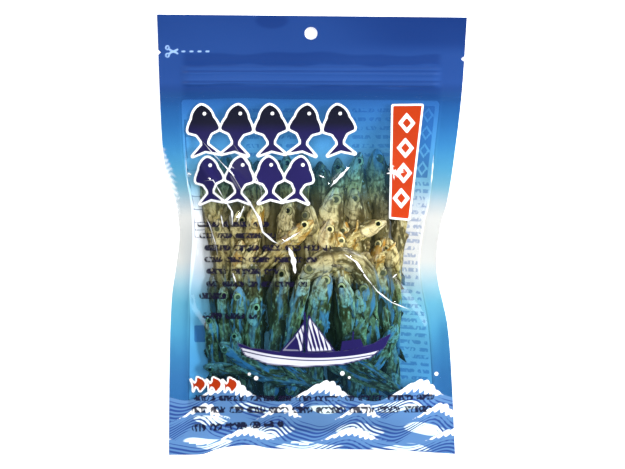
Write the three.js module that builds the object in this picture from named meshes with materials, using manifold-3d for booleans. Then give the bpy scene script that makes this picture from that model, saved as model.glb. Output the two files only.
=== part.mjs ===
// A resealable plastic pouch packed full of whole dried anchovies, lying on its back with its front up.
// It is one piece: two printed films sealed along all four sides and swollen by the fish between them.
// Millimetres. +X runs across the front to the right, +Y up the pouch to its header, and +Z out of the
// front. The origin is under the middle of the pouch, on the surface that it lies on.
import * as THREE from "three";
import { mergeVertices } from "three/addons/utils/BufferGeometryUtils.js";
import Module from "manifold-3d";

// Driving dimensions of the flat pouch, before filling.
const POUCH_WIDTH = 155;
const POUCH_HEIGHT = 220;
const SIDE_SEAL = 10;
const BOTTOM_SEAL = 9;
const SEAL_THICKNESS = 0.8;
const HALF_WIDTH = POUCH_WIDTH / 2;
const HALF_HEIGHT = POUCH_HEIGHT / 2;
const TOP_EDGE_DROP = 1.5; // the top edge is cut a little lower on the right

// The hang hole and the two tear notches in the header.
const HANG_HOLE = { x: -0.5, y: 100.5, radius: 3.2, sides: 28 };
const TEAR_NOTCHES = [
  { side: -1, y: 91, depth: 1.7, height: 2.4 },
  { side: 1, y: 89, depth: 2.2, height: 2.6 },
];

// The reclosable zip: a strip welded across the pouch, with raised rails, between two slack bands of film.
const ZIP_STRIP = { low: 74.5, high: 84, rise: 0.7 };
const ZIP_RAILS = [75.4, 80.6];
const RAIL = { rise: 0.8, halfWidth: 0.9 };
const SLACK_BANDS = [
  { y: 71.5, halfWidth: 3.2, rise: 0.5 },
  { y: 86.9, halfWidth: 2.4, rise: 0.35 },
];

// Filling the pouch pulls its sides and its foot in: [height, pull] up each side, and [across, lift]
// along the foot.
const LEFT_PULL = [
  [-110, 6], [-69, 6.5], [-33, 7.6], [-15, 10], [0, 11.5], [15, 9.8], [33, 4.5], [51, 2.5], [110, 0],
];
const RIGHT_PULL = [
  [-110, 6], [-69, 8], [-45, 10], [-33, 12.5], [-24, 14.6], [-12, 15.5],
  [6, 13.2], [15, 10.5], [33, 7.5], [69, 3], [110, 0],
];
const FOOT_LIFT = [
  [-77, 0], [-60, 0], [-54, 0.4], [-46, 3.2], [-30, 4.8], [-20, 3.1], [30, 2.5], [50, 1.8], [72, 0.3],
];

// Up the pouch, the height of the seals above the surface, and how far the fish push the front up and
// the back down.
const SEAM_HEIGHT = [[-110, 4.5], [-60, 8.5], [0, 9.5], [68, 6.5], [110, 3.6]];
const FRONT_SWELL = [
  [BOTTOM_SEAL - HALF_HEIGHT, 0], [-92, 6], [-78, 13.5], [-55, 19], [-20, 21],
  [15, 18.5], [40, 11], [56, 4.5], [70, 0],
];
const BACK_SWELL = [
  [BOTTOM_SEAL - HALF_HEIGHT, 0], [-92, 7], [-78, 13], [-20, 15],
  [15, 13.5], [40, 9.5], [56, 5], [70, 0],
];
const DOME_POWER = 2.2;

// Long soft folds where the swollen front gathers: the ends of each crest, its height and its half width.
const FOLDS = [
  { from: [-60, 42], to: [-28, -8], height: 1.5, halfWidth: 4.5 },
  { from: [-43, 34], to: [-20, 8], height: 1.1, halfWidth: 4 },
  { from: [30, -12], to: [58, -48], height: 1.6, halfWidth: 4.5 },
  { from: [62, 30], to: [50, -4], height: 1.3, halfWidth: 4.5 },
  { from: [-62, -28], to: [-44, -52], height: 1.2, halfWidth: 4.5 },
  { from: [8, 22], to: [24, 44], height: 1, halfWidth: 4 },
];
const SEAL_RIPPLE = { height: 0.9, length: 31 };
const FISH_RELIEF = { height: 0.8, across: 5.2, along: 13 };

// Rows and columns of the surface, closer together across the zip and on the seals.
const ROWS = [
  { from: -HALF_HEIGHT, to: BOTTOM_SEAL - HALF_HEIGHT, count: 3 },
  { from: BOTTOM_SEAL - HALF_HEIGHT, to: 68, count: 37 },
  { from: 68, to: 88.4, count: 17 },
  { from: 88.4, to: HALF_HEIGHT, count: 4 },
];
const COLUMNS = [
  { from: -HALF_WIDTH, to: SIDE_SEAL - HALF_WIDTH, count: 2 },
  { from: SIDE_SEAL - HALF_WIDTH, to: HALF_WIDTH - SIDE_SEAL, count: 30 },
  { from: HALF_WIDTH - SIDE_SEAL, to: HALF_WIDTH, count: 2 },
];

const lerp = THREE.MathUtils.lerp;
const smoothstep = THREE.MathUtils.smoothstep;

// A smooth curve through a few [place, value] points, level beyond its ends.
function through(points, place) {
  const last = points.length - 1;
  if (place <= points[0][0]) return points[0][1];
  if (place >= points[last][0]) return points[last][1];
  const i = points.findIndex((point) => point[0] > place) - 1;
  const slope = (k) => {
    const before = points[Math.max(k - 1, 0)];
    const after = points[Math.min(k + 1, last)];
    return (after[1] - before[1]) / (after[0] - before[0]);
  };
  const span = points[i + 1][0] - points[i][0];
  const t = (place - points[i][0]) / span;
  const rise = t * t * (3 - 2 * t);
  const leaving = t * (1 - t) * (1 - t) * span * slope(i);
  const arriving = t * t * (1 - t) * span * slope(i + 1);
  return lerp(points[i][1], points[i + 1][1], rise) + leaving - arriving;
}

// 1 at the middle of a rounded ridge, and 0 from its half width on.
function ridge(distance, halfWidth) {
  const t = Math.min(Math.abs(distance) / halfWidth, 1);
  return (1 - t * t) ** 2;
}

// Where a point of the flat film lies once the pouch is filled, seen from above.
function placeOnPouch(across, up) {
  const share = (across + HALF_WIDTH) / POUCH_WIDTH;
  const x = lerp(-HALF_WIDTH + through(LEFT_PULL, up), HALF_WIDTH - through(RIGHT_PULL, up), share);
  const foot = -HALF_HEIGHT + through(FOOT_LIFT, x);
  const top = HALF_HEIGHT - TOP_EDGE_DROP * share;
  return new THREE.Vector2(x, lerp(foot, top, (up + HALF_HEIGHT) / POUCH_HEIGHT));
}

// 1 along the middle of the pouch and 0 at the inner edges of its side seals.
function dome(across) {
  const share = Math.min(Math.abs(across) / (HALF_WIDTH - SIDE_SEAL), 1);
  return 1 - share ** DOME_POWER;
}

// How far the zip and the slack bands beside it stand out of the film.
function zipRise(across, up) {
  const inside = smoothstep(HALF_WIDTH - SIDE_SEAL - Math.abs(across), 0, 2.5);
  const onStrip = up > ZIP_STRIP.low - 0.1 && up < ZIP_STRIP.high + 0.1 ? ZIP_STRIP.rise : 0;
  const rails = ZIP_RAILS.reduce((sum, at) => sum + RAIL.rise * ridge(up - at, RAIL.halfWidth), 0);
  const slack = SLACK_BANDS.reduce((sum, band) => sum + band.rise * ridge(up - band.y, band.halfWidth), 0);
  return inside * (onStrip + rails + slack);
}

// How far the soft folds stand out of the front at a point seen from above.
function foldRise(place) {
  return FOLDS.reduce((sum, fold) => {
    const crest = new THREE.Line3(new THREE.Vector3(...fold.from, 0), new THREE.Vector3(...fold.to, 0));
    const point = new THREE.Vector3(place.x, place.y, 0);
    const nearest = crest.closestPointToPoint(point, true, new THREE.Vector3());
    const along = crest.closestPointToPointParameter(point, true);
    const fading = Math.sin(Math.PI * THREE.MathUtils.clamp(along, 0.02, 0.98));
    return sum + fold.height * fading * ridge(nearest.distanceTo(point), fold.halfWidth);
  }, 0);
}

// The fish print through the film as shallow lumps, which lie along the pouch as most of the fish do.
function fishRise(place) {
  const across = Math.sin(place.x / FISH_RELIEF.across + Math.sin(place.y / 23));
  const along = Math.cos(place.y / FISH_RELIEF.along + place.x / 17);
  return FISH_RELIEF.height * across * along;
}

function seamHeight(across, up) {
  const onSeal = smoothstep(Math.abs(across), HALF_WIDTH - 2 * SIDE_SEAL, HALF_WIDTH);
  const waist = ridge(up + 10, 75);
  const phase = (2 * Math.PI * up) / SEAL_RIPPLE.length + (across > 0 ? 1 : 0);
  return through(SEAM_HEIGHT, up) + SEAL_RIPPLE.height * onSeal * waist * Math.sin(phase);
}

function frontHeight(across, up, place) {
  const middle = dome(across);
  const swell = through(FRONT_SWELL, up) * middle;
  const filled = smoothstep(swell, 2, 10);
  const relief = filled * fishRise(place) + smoothstep(swell, 0, 3) * foldRise(place);
  return seamHeight(across, up) + SEAL_THICKNESS / 2 + swell + zipRise(across, up) + relief;
}

function backHeight(across, up) {
  const swell = through(BACK_SWELL, up) * dome(across);
  const back = seamHeight(across, up) - SEAL_THICKNESS / 2 - swell - zipRise(across, up);
  return Math.max(back, 0);
}

// The places of the grid lines of one direction.
function gridLines(sections) {
  const lines = sections.flatMap(({ from, to, count }) =>
    Array.from({ length: count }, (_, i) => lerp(from, to, i / count)),
  );
  return [...lines, sections.at(-1).to];
}

// A flat box of grid cells, with its upper face drawn up to the front film and its lower face down to
// the back film.
function filledPouch() {
  const columns = gridLines(COLUMNS);
  const rows = gridLines(ROWS);
  const box = new THREE.BoxGeometry(1, 1, 1, columns.length - 1, rows.length - 1, 1);
  const corners = box.getAttribute("position");
  for (let i = 0; i < corners.count; i++) {
    const across = columns[Math.round((corners.getX(i) + 0.5) * (columns.length - 1))];
    const up = rows[Math.round((corners.getY(i) + 0.5) * (rows.length - 1))];
    const place = placeOnPouch(across, up);
    const height = corners.getZ(i) > 0 ? frontHeight(across, up, place) : backHeight(across, up);
    corners.setXYZ(i, place.x, place.y, height);
  }
  return box;
}

const CUT_HEIGHT = 20;

function hangHoleCutter() {
  const { x, y, radius, sides } = HANG_HOLE;
  return new THREE.CylinderGeometry(radius, radius, CUT_HEIGHT, sides)
    .rotateX(Math.PI / 2)
    .translate(x, y, 0);
}

// A wedge that points inwards from just outside the edge of the pouch.
function notchCutter({ side, y, depth, height }) {
  const edge = placeOnPouch(side * HALF_WIDTH, y).x;
  const outside = edge + side * depth;
  const slope = height / 2 / depth;
  const wedge = new THREE.Shape([
    new THREE.Vector2(edge - side * depth, y),
    new THREE.Vector2(outside, y + slope * 2 * depth),
    new THREE.Vector2(outside, y - slope * 2 * depth),
  ]);
  return new THREE.ExtrudeGeometry(wedge, { depth: CUT_HEIGHT, bevelEnabled: false })
    .translate(0, 0, -CUT_HEIGHT / 2);
}

const wasm = await Module();
wasm.setup();

function toSolid(geometry) {
  const bare = geometry.clone();
  bare.deleteAttribute("normal");
  bare.deleteAttribute("uv");
  const merged = mergeVertices(bare, 1e-3);
  return new wasm.Manifold(
    new wasm.Mesh({
      numProp: 3,
      vertProperties: merged.getAttribute("position").array,
      triVerts: new Uint32Array(merged.index.array),
    }),
  );
}

function toGeometry(solid) {
  const mesh = solid.getMesh();
  const geometry = new THREE.BufferGeometry();
  geometry.setAttribute("position", new THREE.BufferAttribute(mesh.vertProperties, 3));
  geometry.setIndex(new THREE.BufferAttribute(mesh.triVerts, 1));
  geometry.computeVertexNormals();
  return geometry;
}

function makePouch() {
  const cutters = [hangHoleCutter(), ...TEAR_NOTCHES.map(notchCutter)];
  const solid = cutters.reduce((left, cutter) => left.subtract(toSolid(cutter)), toSolid(filledPouch()));
  const film = new THREE.MeshStandardMaterial({ color: 0x4fa3d8, roughness: 0.25, metalness: 0 });
  const pouch = new THREE.Mesh(toGeometry(solid), film);
  pouch.name = "pouch";
  return pouch;
}

const part = new THREE.Group();
part.add(makePouch());

export default part;
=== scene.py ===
"""A sealed pouch of dried anchovies, lying on its back with its printed front up.

The pouch is one CAD solid. Here it becomes what it really is: a front and a back film, printed and welded
round the edge, with a zip between them and the loose fish inside. Tables are in millimetres, seen from
above: x to the right and y up the pouch. Meshes are in metres.
"""
import math

import bpy
import numpy as np
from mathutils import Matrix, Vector


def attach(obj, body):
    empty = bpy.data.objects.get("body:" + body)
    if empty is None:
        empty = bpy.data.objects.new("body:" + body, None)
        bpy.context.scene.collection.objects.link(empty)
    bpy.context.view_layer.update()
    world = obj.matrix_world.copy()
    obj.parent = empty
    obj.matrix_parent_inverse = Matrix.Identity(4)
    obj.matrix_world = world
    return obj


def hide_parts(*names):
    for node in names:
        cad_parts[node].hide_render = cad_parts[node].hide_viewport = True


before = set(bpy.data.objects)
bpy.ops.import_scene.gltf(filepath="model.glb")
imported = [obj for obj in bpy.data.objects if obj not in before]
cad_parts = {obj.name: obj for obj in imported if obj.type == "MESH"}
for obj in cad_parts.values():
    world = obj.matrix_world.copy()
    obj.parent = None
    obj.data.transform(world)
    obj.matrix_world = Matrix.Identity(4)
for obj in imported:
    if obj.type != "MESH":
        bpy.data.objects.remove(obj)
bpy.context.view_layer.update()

# ---------------------------------------------------------------------------------------------------------
# Front film: clear polythene laminate, welded to the back film along all four sides and pushed up into a
# pillow by the fish. It gathers at the waist and is creased where the film has been folded and pressed.
# ---------------------------------------------------------------------------------------------------------
MM = 0.001
POUCH_WIDTH, POUCH_HEIGHT, SIDE_SEAL, FOOT_SEAL, FILM = 155, 220, 10, 9, 0.12
HALF_WIDTH, HALF_HEIGHT = POUCH_WIDTH / 2, POUCH_HEIGHT / 2

# How far the filled pouch has pulled each edge in, and how high its seams and its front stand, up the film.
LEFT_PULL = [
    (-110, 6), (-69, 6.5), (-33, 7.6), (-15, 10), (0, 11.5), (15, 9.8), (33, 4.5), (51, 2.5), (110, 0),
]
RIGHT_PULL = [
    (-110, 6), (-69, 8), (-45, 10), (-33, 12.5), (-24, 14.6), (-12, 15.5),
    (6, 13.2), (15, 10.5), (33, 7.5), (69, 3), (110, 0),
]
FOOT_LIFT = [
    (-77, 0), (-60, 0), (-54, 0.4), (-46, 3.2), (-30, 4.8), (-20, 3.1), (30, 2.5), (50, 1.8), (72, 0.3),
]
TOP_EDGE_DROP = 1.5
SEAM_HEIGHT = [(-110, 4.5), (-60, 8.5), (0, 9.5), (68, 6.5), (110, 3.6)]
SEAM_WAVE, SEAM_WAVE_RISE, WAVY_MIDDLE, WAVY_REACH = 31, 0.9, -10, 75
FOOT = FOOT_SEAL - HALF_HEIGHT
FRONT_SWELL = [
    (FOOT, 0), (-92, 6), (-78, 13.5), (-55, 19), (-20, 21), (15, 18.5), (40, 11), (56, 4.5), (70, 0),
]
DOME_POWER = 2.2
LUMP_RISE, LUMP_WIDTH = 0.8, 5.2
GATHER_RISE, GATHER_WIDTH, WAIST_MIDDLE, WAIST_REACH = 0.35, 1.9, 2, 45

# The zip stands up between its low and high edge, with a rib on each rail and a slack fold either side.
ZIP_LOW, ZIP_HIGH, ZIP_RISE = 74.5, 84, 0.7
ZIP_RAILS, RAIL_RISE, RAIL_HALF_WIDTH = (75.4, 80.6), 0.8, 0.9
SLACK_BANDS = [(71.5, 3.2, 0.5), (86.9, 2.4, 0.35)]

# Soft folds: height, half width, and the points that the crest runs through.
SOFT_FOLDS = [
    (1.5, 4.5, [(-60, 42), (-28, -8)]), (1.1, 4.0, [(-43, 34), (-20, 8)]),
    (1.6, 4.5, [(30, -12), (58, -48)]), (1.3, 4.5, [(62, 30), (50, -4)]),
    (1.2, 4.5, [(-62, -28), (-44, -52)]), (1.0, 4.0, [(8, 22), (24, 44)]),
]
# Sharp creases: height, half width, how far their painted highlight reaches either side, and the crest's
# points.
SHARP_CREASES = [
    (0.8, 1.7, 0.24, [(-56, 48), (-48, 39), (-39.5, 30), (-32.8, 18.5)]),
    (0.8, 1.8, 0.75, [(-34, 21), (-26, 8), (-24.3, 1.3), (-19, -3.3), (-15.3, -5.2)]),
    (0.7, 1.5, 0.20, [(-39.5, 45.5), (-33.5, 37), (-29, 31), (-25.2, 23), (-24.5, 16)]),
    (0.6, 1.5, 0.22, [(-54, 26.5), (-49, 27), (-42, 15)]),
    (0.6, 1.5, 0.55, [(-43, 17), (-39.5, 11.5), (-39.2, 4)]),
    (0.7, 1.5, 0.48, [(-36.8, 6), (-35, 10.5), (-33, 14.5)]),
    (0.5, 1.5, 0.22, [(-54, 11), (-50.8, 4.8), (-47.5, -5.5), (-46.6, -11.5)]),
    (0.5, 1.5, 0.38, [(-45.2, 10.5), (-43.8, 3)]),
    (1.1, 1.6, 0.50, [(-15.6, -4.8), (-10.5, -1.5), (-5.4, 1.6)]),
    (1.2, 2.2, 1.35, [(-11.6, -6), (-9.2, -12), (-8.2, -19.5)]),
    (1.6, 2.3, 0.85, [(8.8, 23.2), (13.5, 28.3), (18.4, 33.2)]),
    (1.0, 1.6, 0.80, [(36.8, 30.2), (40.5, 30.5), (46, 31)]),
    (0.8, 1.3, 0.45, [(39.6, 35), (40.8, 26.6)]),
    (1.3, 1.8, 0.62, [(15.5, -9.4), (21.8, -13.5), (26.5, -20.8), (29.5, -25)]),
    (1.1, 1.6, 0.30, [(25, -18.6), (32.2, -28), (39.3, -33.5), (51, -38.2)]),
    (0.5, 1.4, 0.45, [(-39.2, -18.6), (-37.4, -24)]),
    (0.4, 1.4, 0.40, [(39.6, -21.5), (42.2, -19.4)]),
    (0.8, 1.4, 0.35, [(3.2, 29.4), (6.6, 27.8)]),
    (0.8, 1.3, 0.45, [(-62.4, 31), (-59.8, 29.6)]),
    (0.5, 1.4, 0.34, [(60.6, 40), (60, 32), (59.1, 22.5)]),
    (0.4, 1.4, 0.20, [(-63, 43), (-62.6, 33), (-61.6, 22), (-60.6, 16)]),
]
# Painted glare: where the left seal gathers at the waist, a band of its film is painted white for the shine
# on it.
PAINTED_GLARE, PAINTED_GLARE_HALF_WIDTH = [(-75.3, 42), (-73.4, 27), (-71, 14), (-68, 0)], 3.9


def through(stops, place):
    """A smooth curve through a few (place, value) stops, level beyond its ends."""
    at, value = np.array(stops, float).T
    slope = np.gradient(value)
    slope[1:-1] = (value[2:] - value[:-2]) / (at[2:] - at[:-2])
    slope[0] = (value[1] - value[0]) / (at[1] - at[0])
    slope[-1] = (value[-1] - value[-2]) / (at[-1] - at[-2])
    place = np.clip(place, at[0], at[-1])
    i = np.clip(np.searchsorted(at, place, side="right") - 1, 0, len(at) - 2)
    span = at[i + 1] - at[i]
    t = (place - at[i]) / span
    rise = t * t * (3 - 2 * t)
    bend = t * (1 - t) ** 2 * span * slope[i] - t * t * (1 - t) * span * slope[i + 1]
    return value[i] + (value[i + 1] - value[i]) * rise + bend


def smoothstep(value, low, high):
    t = np.clip((value - low) / (high - low), 0, 1)
    return t * t * (3 - 2 * t)


def ridge(distance, half_width=1):
    """1 along a rounded crest, and 0 from its half width on."""
    return (1 - np.minimum(np.abs(distance) / half_width, 1) ** 2) ** 2


def sharp_ridge(distance):
    """A crest with flat flanks, rounded off a little at the top."""
    return np.maximum(1 - np.hypot(distance, 0.25), 0)


def side_edges(up):
    """Where the pouch's left and right edges lie, at a height on the flat film."""
    return through(LEFT_PULL, up) - HALF_WIDTH, HALF_WIDTH - through(RIGHT_PULL, up)


def end_edges(x, share):
    """Where the pouch's foot and top lie, at a place across it that is this share of the way across."""
    return through(FOOT_LIFT, x) - HALF_HEIGHT, HALF_HEIGHT - TOP_EDGE_DROP * share


def seen_from_above(across, up):
    """Where a point of the flat film lies once the pouch is filled."""
    share = (across + HALF_WIDTH) / POUCH_WIDTH
    left, right = side_edges(up)
    x = left + (right - left) * share
    foot, top = end_edges(x, share)
    return x, foot + (top - foot) * (up + HALF_HEIGHT) / POUCH_HEIGHT


def laid_flat(x, y):
    """The point of the flat film that lies at a place seen from above."""
    foot, top = end_edges(x, (x + HALF_WIDTH) / POUCH_WIDTH)
    up = (y - foot) / (top - foot) * POUCH_HEIGHT - HALF_HEIGHT
    left, right = side_edges(up)
    return (x - left) / (right - left) * POUCH_WIDTH - HALF_WIDTH, up


def dome(across):
    return 1 - np.minimum(np.abs(across) / (HALF_WIDTH - SIDE_SEAL), 1) ** DOME_POWER


def zip_rise(across, up):
    inside = smoothstep(HALF_WIDTH - SIDE_SEAL - np.abs(across), 0, 6)
    rise = smoothstep(up, ZIP_LOW - 0.5, ZIP_LOW) * (1 - smoothstep(up, ZIP_HIGH, ZIP_HIGH + 0.5)) * ZIP_RISE
    rise += sum(RAIL_RISE * ridge(up - rail, RAIL_HALF_WIDTH) for rail in ZIP_RAILS)
    rise += sum(height * ridge(up - at, half_width) for at, half_width, height in SLACK_BANDS)
    return inside * rise


def seam_height(across, up):
    on_seal = smoothstep(np.abs(across), HALF_WIDTH - 2 * SIDE_SEAL, HALF_WIDTH)
    wave = SEAM_WAVE_RISE * np.sin(2 * np.pi * up / SEAM_WAVE + (across > 0))
    return through(SEAM_HEIGHT, up) + on_seal * ridge(up - WAVY_MIDDLE, WAVY_REACH) * wave


def beside_crest(points, x, y):
    """How far a place is from a crest, on which side of it, and the share of the crest that is behind it."""
    points = np.array(points, float)
    lengths = np.hypot(*np.diff(points, axis=0).T)
    run = np.concatenate([[0], np.cumsum(lengths)])
    nearest, side, along = np.full_like(x, 1e9), np.ones_like(x), np.zeros_like(x)
    for (ax, ay), (bx, by), length, before in zip(points[:-1], points[1:], lengths, run):
        t = np.clip(((x - ax) * (bx - ax) + (y - ay) * (by - ay)) / length ** 2, 0, 1)
        away = np.hypot(x - ax - t * (bx - ax), y - ay - t * (by - ay))
        closer = away < nearest
        nearest = np.where(closer, away, nearest)
        side = np.where(closer, np.sign((x - ax) * (by - ay) - (y - ay) * (bx - ax)), side)
        along = np.where(closer, (before + t * length) / run[-1], along)
    return nearest, side, along


def folded(crests, flanks, x, y):
    """How far a set of folds stands out of the film. Each fades over a fifth of its length at either end."""
    rise = np.zeros_like(x)
    for height, half_width, *_, points in crests:
        nearest, _, along = beside_crest(points, x, y)
        fading = np.clip(5 * np.minimum(along, 1 - along), 0, 1)
        rise = np.maximum(rise, height * fading * flanks(nearest / half_width))
    return rise


def crease_painted_glint(x, y):
    """Painted highlights along the sharp creases: the distance across the nearest, and how far the painted
    white reaches.
    """
    no_painted_glint, painted_glint_within, soft_edge = -1.0, 2.5, 0.2
    nearest_yet, across, reach = np.full_like(x, 1e9), np.full_like(x, 20.0), np.full_like(x, no_painted_glint)
    for _, _, width, points in SHARP_CREASES:
        nearest, side, along = beside_crest(points, x, y)
        swell = np.sin(np.pi * along) ** 0.6 * (0.82 + 0.18 * np.sin(19 * along + 40 * width))
        white = np.where(nearest < painted_glint_within, (width + soft_edge) * swell - soft_edge, no_painted_glint)
        closer = nearest < nearest_yet
        nearest_yet = np.where(closer, nearest, nearest_yet)
        across = np.where(closer, side * nearest, across)
        reach = np.where(closer, white, reach)
    return across, reach


def glare_distance(x, y):
    """How far a place is outside the band of painted glare, which has a soft and ragged edge."""
    softness = 0.085
    nearest, _, along = beside_crest(PAINTED_GLARE, x, y)
    band = PAINTED_GLARE_HALF_WIDTH * np.sin(np.pi * np.clip(along, 0.06, 0.94))
    ragged = np.sin(y * 2.3 + 1.7 * np.sin(x * 1.1)) + 0.6 * np.sin(y * 0.9 + x * 1.7)
    return softness * (nearest - band + 0.7 * ragged)


def front_height(across, up, x, y):
    """The front film's height: the seams, the swell of the filling, and what stands out of it."""
    swell = through(FRONT_SWELL, up) * dome(across)
    lumps = LUMP_RISE * np.sin(x / LUMP_WIDTH + np.sin(y / 23)) * np.cos(y / 13 + x / 17)
    folds = folded(SOFT_FOLDS, ridge, x, y) + folded(SHARP_CREASES, sharp_ridge, x, y)
    beside_seal = smoothstep(np.abs(across), 44, 58) * (1 - smoothstep(np.abs(across), 64, 68))
    gathers = GATHER_RISE * np.sin(y / GATHER_WIDTH + 1.5 * np.sin(x / 9))
    gathers *= ridge(y - WAIST_MIDDLE, WAIST_REACH)
    relief = lumps * smoothstep(swell, 2, 10) + folds * smoothstep(swell, 0, 3) + gathers * beside_seal
    return seam_height(across, up) + FILM + swell + zip_rise(across, up) + relief


HOLE = (-0.5, 100.5, 3.2)
HOLE_RIM = 0.4
# The tear notches: side, height up the film, depth, and how tall the mouth is.
NOTCHES, NOTCH_REACH = [(-1, 91, 1.5, 2.2), (1, 89, 1.9, 2.6)], 6


def put_in_scene(name, data):
    made = bpy.data.objects.new(name, data)
    bpy.context.scene.collection.objects.link(made)
    return made


def keep(mesh, name, kind, values):
    """Keeps a number, a place or a colour at each corner of a mesh, for its material."""
    field = {"FLOAT": "value", "INT": "value", "FLOAT_VECTOR": "vector", "FLOAT_COLOR": "color"}[kind]
    exact = np.asarray(values, np.int32 if kind == "INT" else np.float32)
    mesh.attributes.new(name, kind, "POINT").data.foreach_set(field, exact.ravel())


def film_sheet(name, columns, rows, height_of, facing_up):
    """One film as a fine net, with the hang hole and the tear notches cut out of it."""
    across, up = np.meshgrid(
        np.linspace(-HALF_WIDTH, HALF_WIDTH, columns + 1), np.linspace(-HALF_HEIGHT, HALF_HEIGHT, rows + 1)
    )
    across, up = across.ravel(), up.ravel()
    x, y = seen_from_above(across, up)
    hole_x, hole_y, radius = HOLE
    away = np.hypot(x - hole_x, y - hole_y)
    cut = away <= radius - HOLE_RIM
    near = ~cut & (away < radius + 0.72 * POUCH_WIDTH / columns)
    x = np.where(near, hole_x + (x - hole_x) * radius / np.maximum(away, 1e-6), x)
    y = np.where(near, hole_y + (y - hole_y) * radius / np.maximum(away, 1e-6), y)
    for side, at, depth, height in NOTCHES:
        room = depth * np.maximum(1 - np.abs(up - at) / (height / 2), 0)
        x = x - side * room * np.maximum(1 - (HALF_WIDTH - side * across) / NOTCH_REACH, 0)
    z = height_of(across, up, x, y)
    first = (np.arange(rows)[:, None] * (columns + 1) + np.arange(columns)).ravel()
    faces = np.stack([first, first + 1, first + columns + 2, first + columns + 1], axis=1)
    faces = faces[cut[faces].sum(axis=1) == 0]
    if not facing_up:
        faces = faces[:, ::-1]
    mesh = bpy.data.meshes.new(name)
    mesh.from_pydata(np.stack([x, y, z], axis=1) * MM, [], faces.tolist())
    mesh.shade_smooth()
    corner = np.zeros(len(mesh.loops), int)
    mesh.loops.foreach_get("vertex_index", corner)
    shares = [(x[corner] + HALF_WIDTH) / POUCH_WIDTH, (y[corner] + HALF_HEIGHT) / POUCH_HEIGHT]
    mesh.uv_layers.new(name="film").data.foreach_set("uv", np.stack(shares, axis=1).ravel())
    return put_in_scene(name, mesh), x, y


# The front's print, in places seen from above. Each shape is kept on the film as its signed distance, in
# millimetres and below 0 inside it, which the material cuts at the shape's edge.
def outline_distance(outline, x, y):
    nearest, inside = np.full_like(x, 1e9), np.zeros(x.shape, bool)
    outline = np.array(outline, float)
    for (ax, ay), (bx, by) in zip(outline, np.roll(outline, -1, axis=0)):
        run, rise = bx - ax, by - ay
        t = np.clip(((x - ax) * run + (y - ay) * rise) / (run * run + rise * rise), 0, 1)
        nearest = np.minimum(nearest, np.hypot(x - ax - t * run, y - ay - t * rise))
        if rise:
            inside ^= ((ay > y) != (by > y)) & (x < ax + (y - ay) * run / rise)
    return np.where(inside, -nearest, nearest)


def bar_distance(centre, length, thickness, turn, x, y):
    """A bar with round ends."""
    c, s = math.cos(turn), math.sin(turn)
    along = (x - centre[0]) * c + (y - centre[1]) * s
    aside = -(x - centre[0]) * s + (y - centre[1]) * c
    return np.hypot(np.maximum(np.abs(along) - (length - thickness) / 2, 0), aside) - thickness / 2


def disc_distance(centre, radius, x, y):
    return np.hypot(x - centre[0], y - centre[1]) - radius


def little_fish(centre, length, width, turn):
    """The outline of a plain fish, snout first: a leaf with a fin either side and a forked tail."""
    t = 0.8 * np.linspace(0, 1, 41) ** 1.5
    body = 0.34 * width * np.sin(np.pi * (t / 0.8) ** 0.72) ** 0.9
    body = np.maximum(body, np.where(t > 0.4, 0.085 * width, 0))
    fin = 0.21 * width * np.clip((t - 0.26) / 0.22, 0, 1) * np.clip((0.58 - t) / 0.06, 0, 1)
    side = np.concatenate([np.stack([0.5 - t, body + fin], 1), [(-0.5, 0.42 * width), (-0.42, 0.0)]])
    side[:, 0] *= length
    outline = np.concatenate([side, side[-2::-1] * (1, -1)])[:-1]
    c, s = math.cos(turn), math.sin(turn)
    return outline @ np.array([[c, s], [-s, c]]) + centre


# Rows of fish: the places across, the row's height, and each fish's length and width.
TITLE_ROWS = [((-54, -37.5, -20.5, -3.5, 13.5), 52, 25, 15.8), ((-51, -36, -21, -6.5), 27, 22.5, 13.8)]
TITLE_LEANS = (0.10, -0.07, 0.05, -0.11, 0.08)
EYE_ALONG, EYE_ASIDE, EYE_RADIUS = 0.33, 1.2, 0.9


def shoal(x, y):
    """Fish standing on their tails in rows, with an eye cut out of each."""
    distance = np.full_like(x, 1e9)
    for centres, middle, length, width in TITLE_ROWS:
        for at, lean in zip(centres, TITLE_LEANS):
            turn = math.pi / 2 + lean
            body = outline_distance(little_fish((at, middle), length, width, turn), x, y)
            reach = EYE_ALONG * length
            eye = (at + reach * math.cos(turn) + EYE_ASIDE, middle + reach * math.sin(turn))
            distance = np.minimum(distance, np.maximum(body, -disc_distance(eye, EYE_RADIUS, x, y)))
    return distance


# Rows of small print: left and right end, height, thickness and slope.
SHADE_LINES = [
    (-57, -21, 5, 2.6, 0), (-56, -16.5, -0.6, 2.6, 0), (-53.5, 9.5, -6.6, 2.8, 0),
    (-53.5, 2.5, -12.4, 2.6, 0), (-52.5, -15.5, -18.2, 2.6, 0), (-52.5, -2, -24.4, 2.6, 0),
    (-56, -38, -30.4, 3.0, 0), (-54.5, -27, -40.2, 3.0, 0),
]
FOOT_LINES = [(-59, 61, -81.4, 2.8, 0.004), (-60, 62, -87.2, 3.3, 0.002), (-60, -14, -96.6, 3.8, 0.05)]
SHORTEST_WORD, LONGEST_WORD, WORD_GAP, LEAST_ROOM = 5, 15, 1.4, 2


def small_print(lines, x, y):
    """Rows of short bars of uneven length."""
    rng = np.random.default_rng(7)
    distance = np.full_like(x, 1e9)
    for left, right, at, thickness, slope in lines:
        place = left
        while place < right - LEAST_ROOM:
            length = min(rng.uniform(SHORTEST_WORD, LONGEST_WORD), right - place)
            middle = (place + length / 2, at + slope * (place + length / 2 - left))
            distance = np.minimum(distance, bar_distance(middle, length, thickness, math.atan(slope), x, y))
            place += length + WORD_GAP
    return distance


PANEL = [(40.4, 64.1), (54.8, 64.3), (47.9, 7.8), (39, 8.6)]
PANEL_MARKS = [(47.2, 55.5), (46.4, 43), (45.4, 30.5), (44.2, 18)]
MARK_WIDE, MARK_HIGH, MARK_INSIDE, MARK_THICKNESS = 0.9, 0.75, 2.0, 1.9


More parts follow.
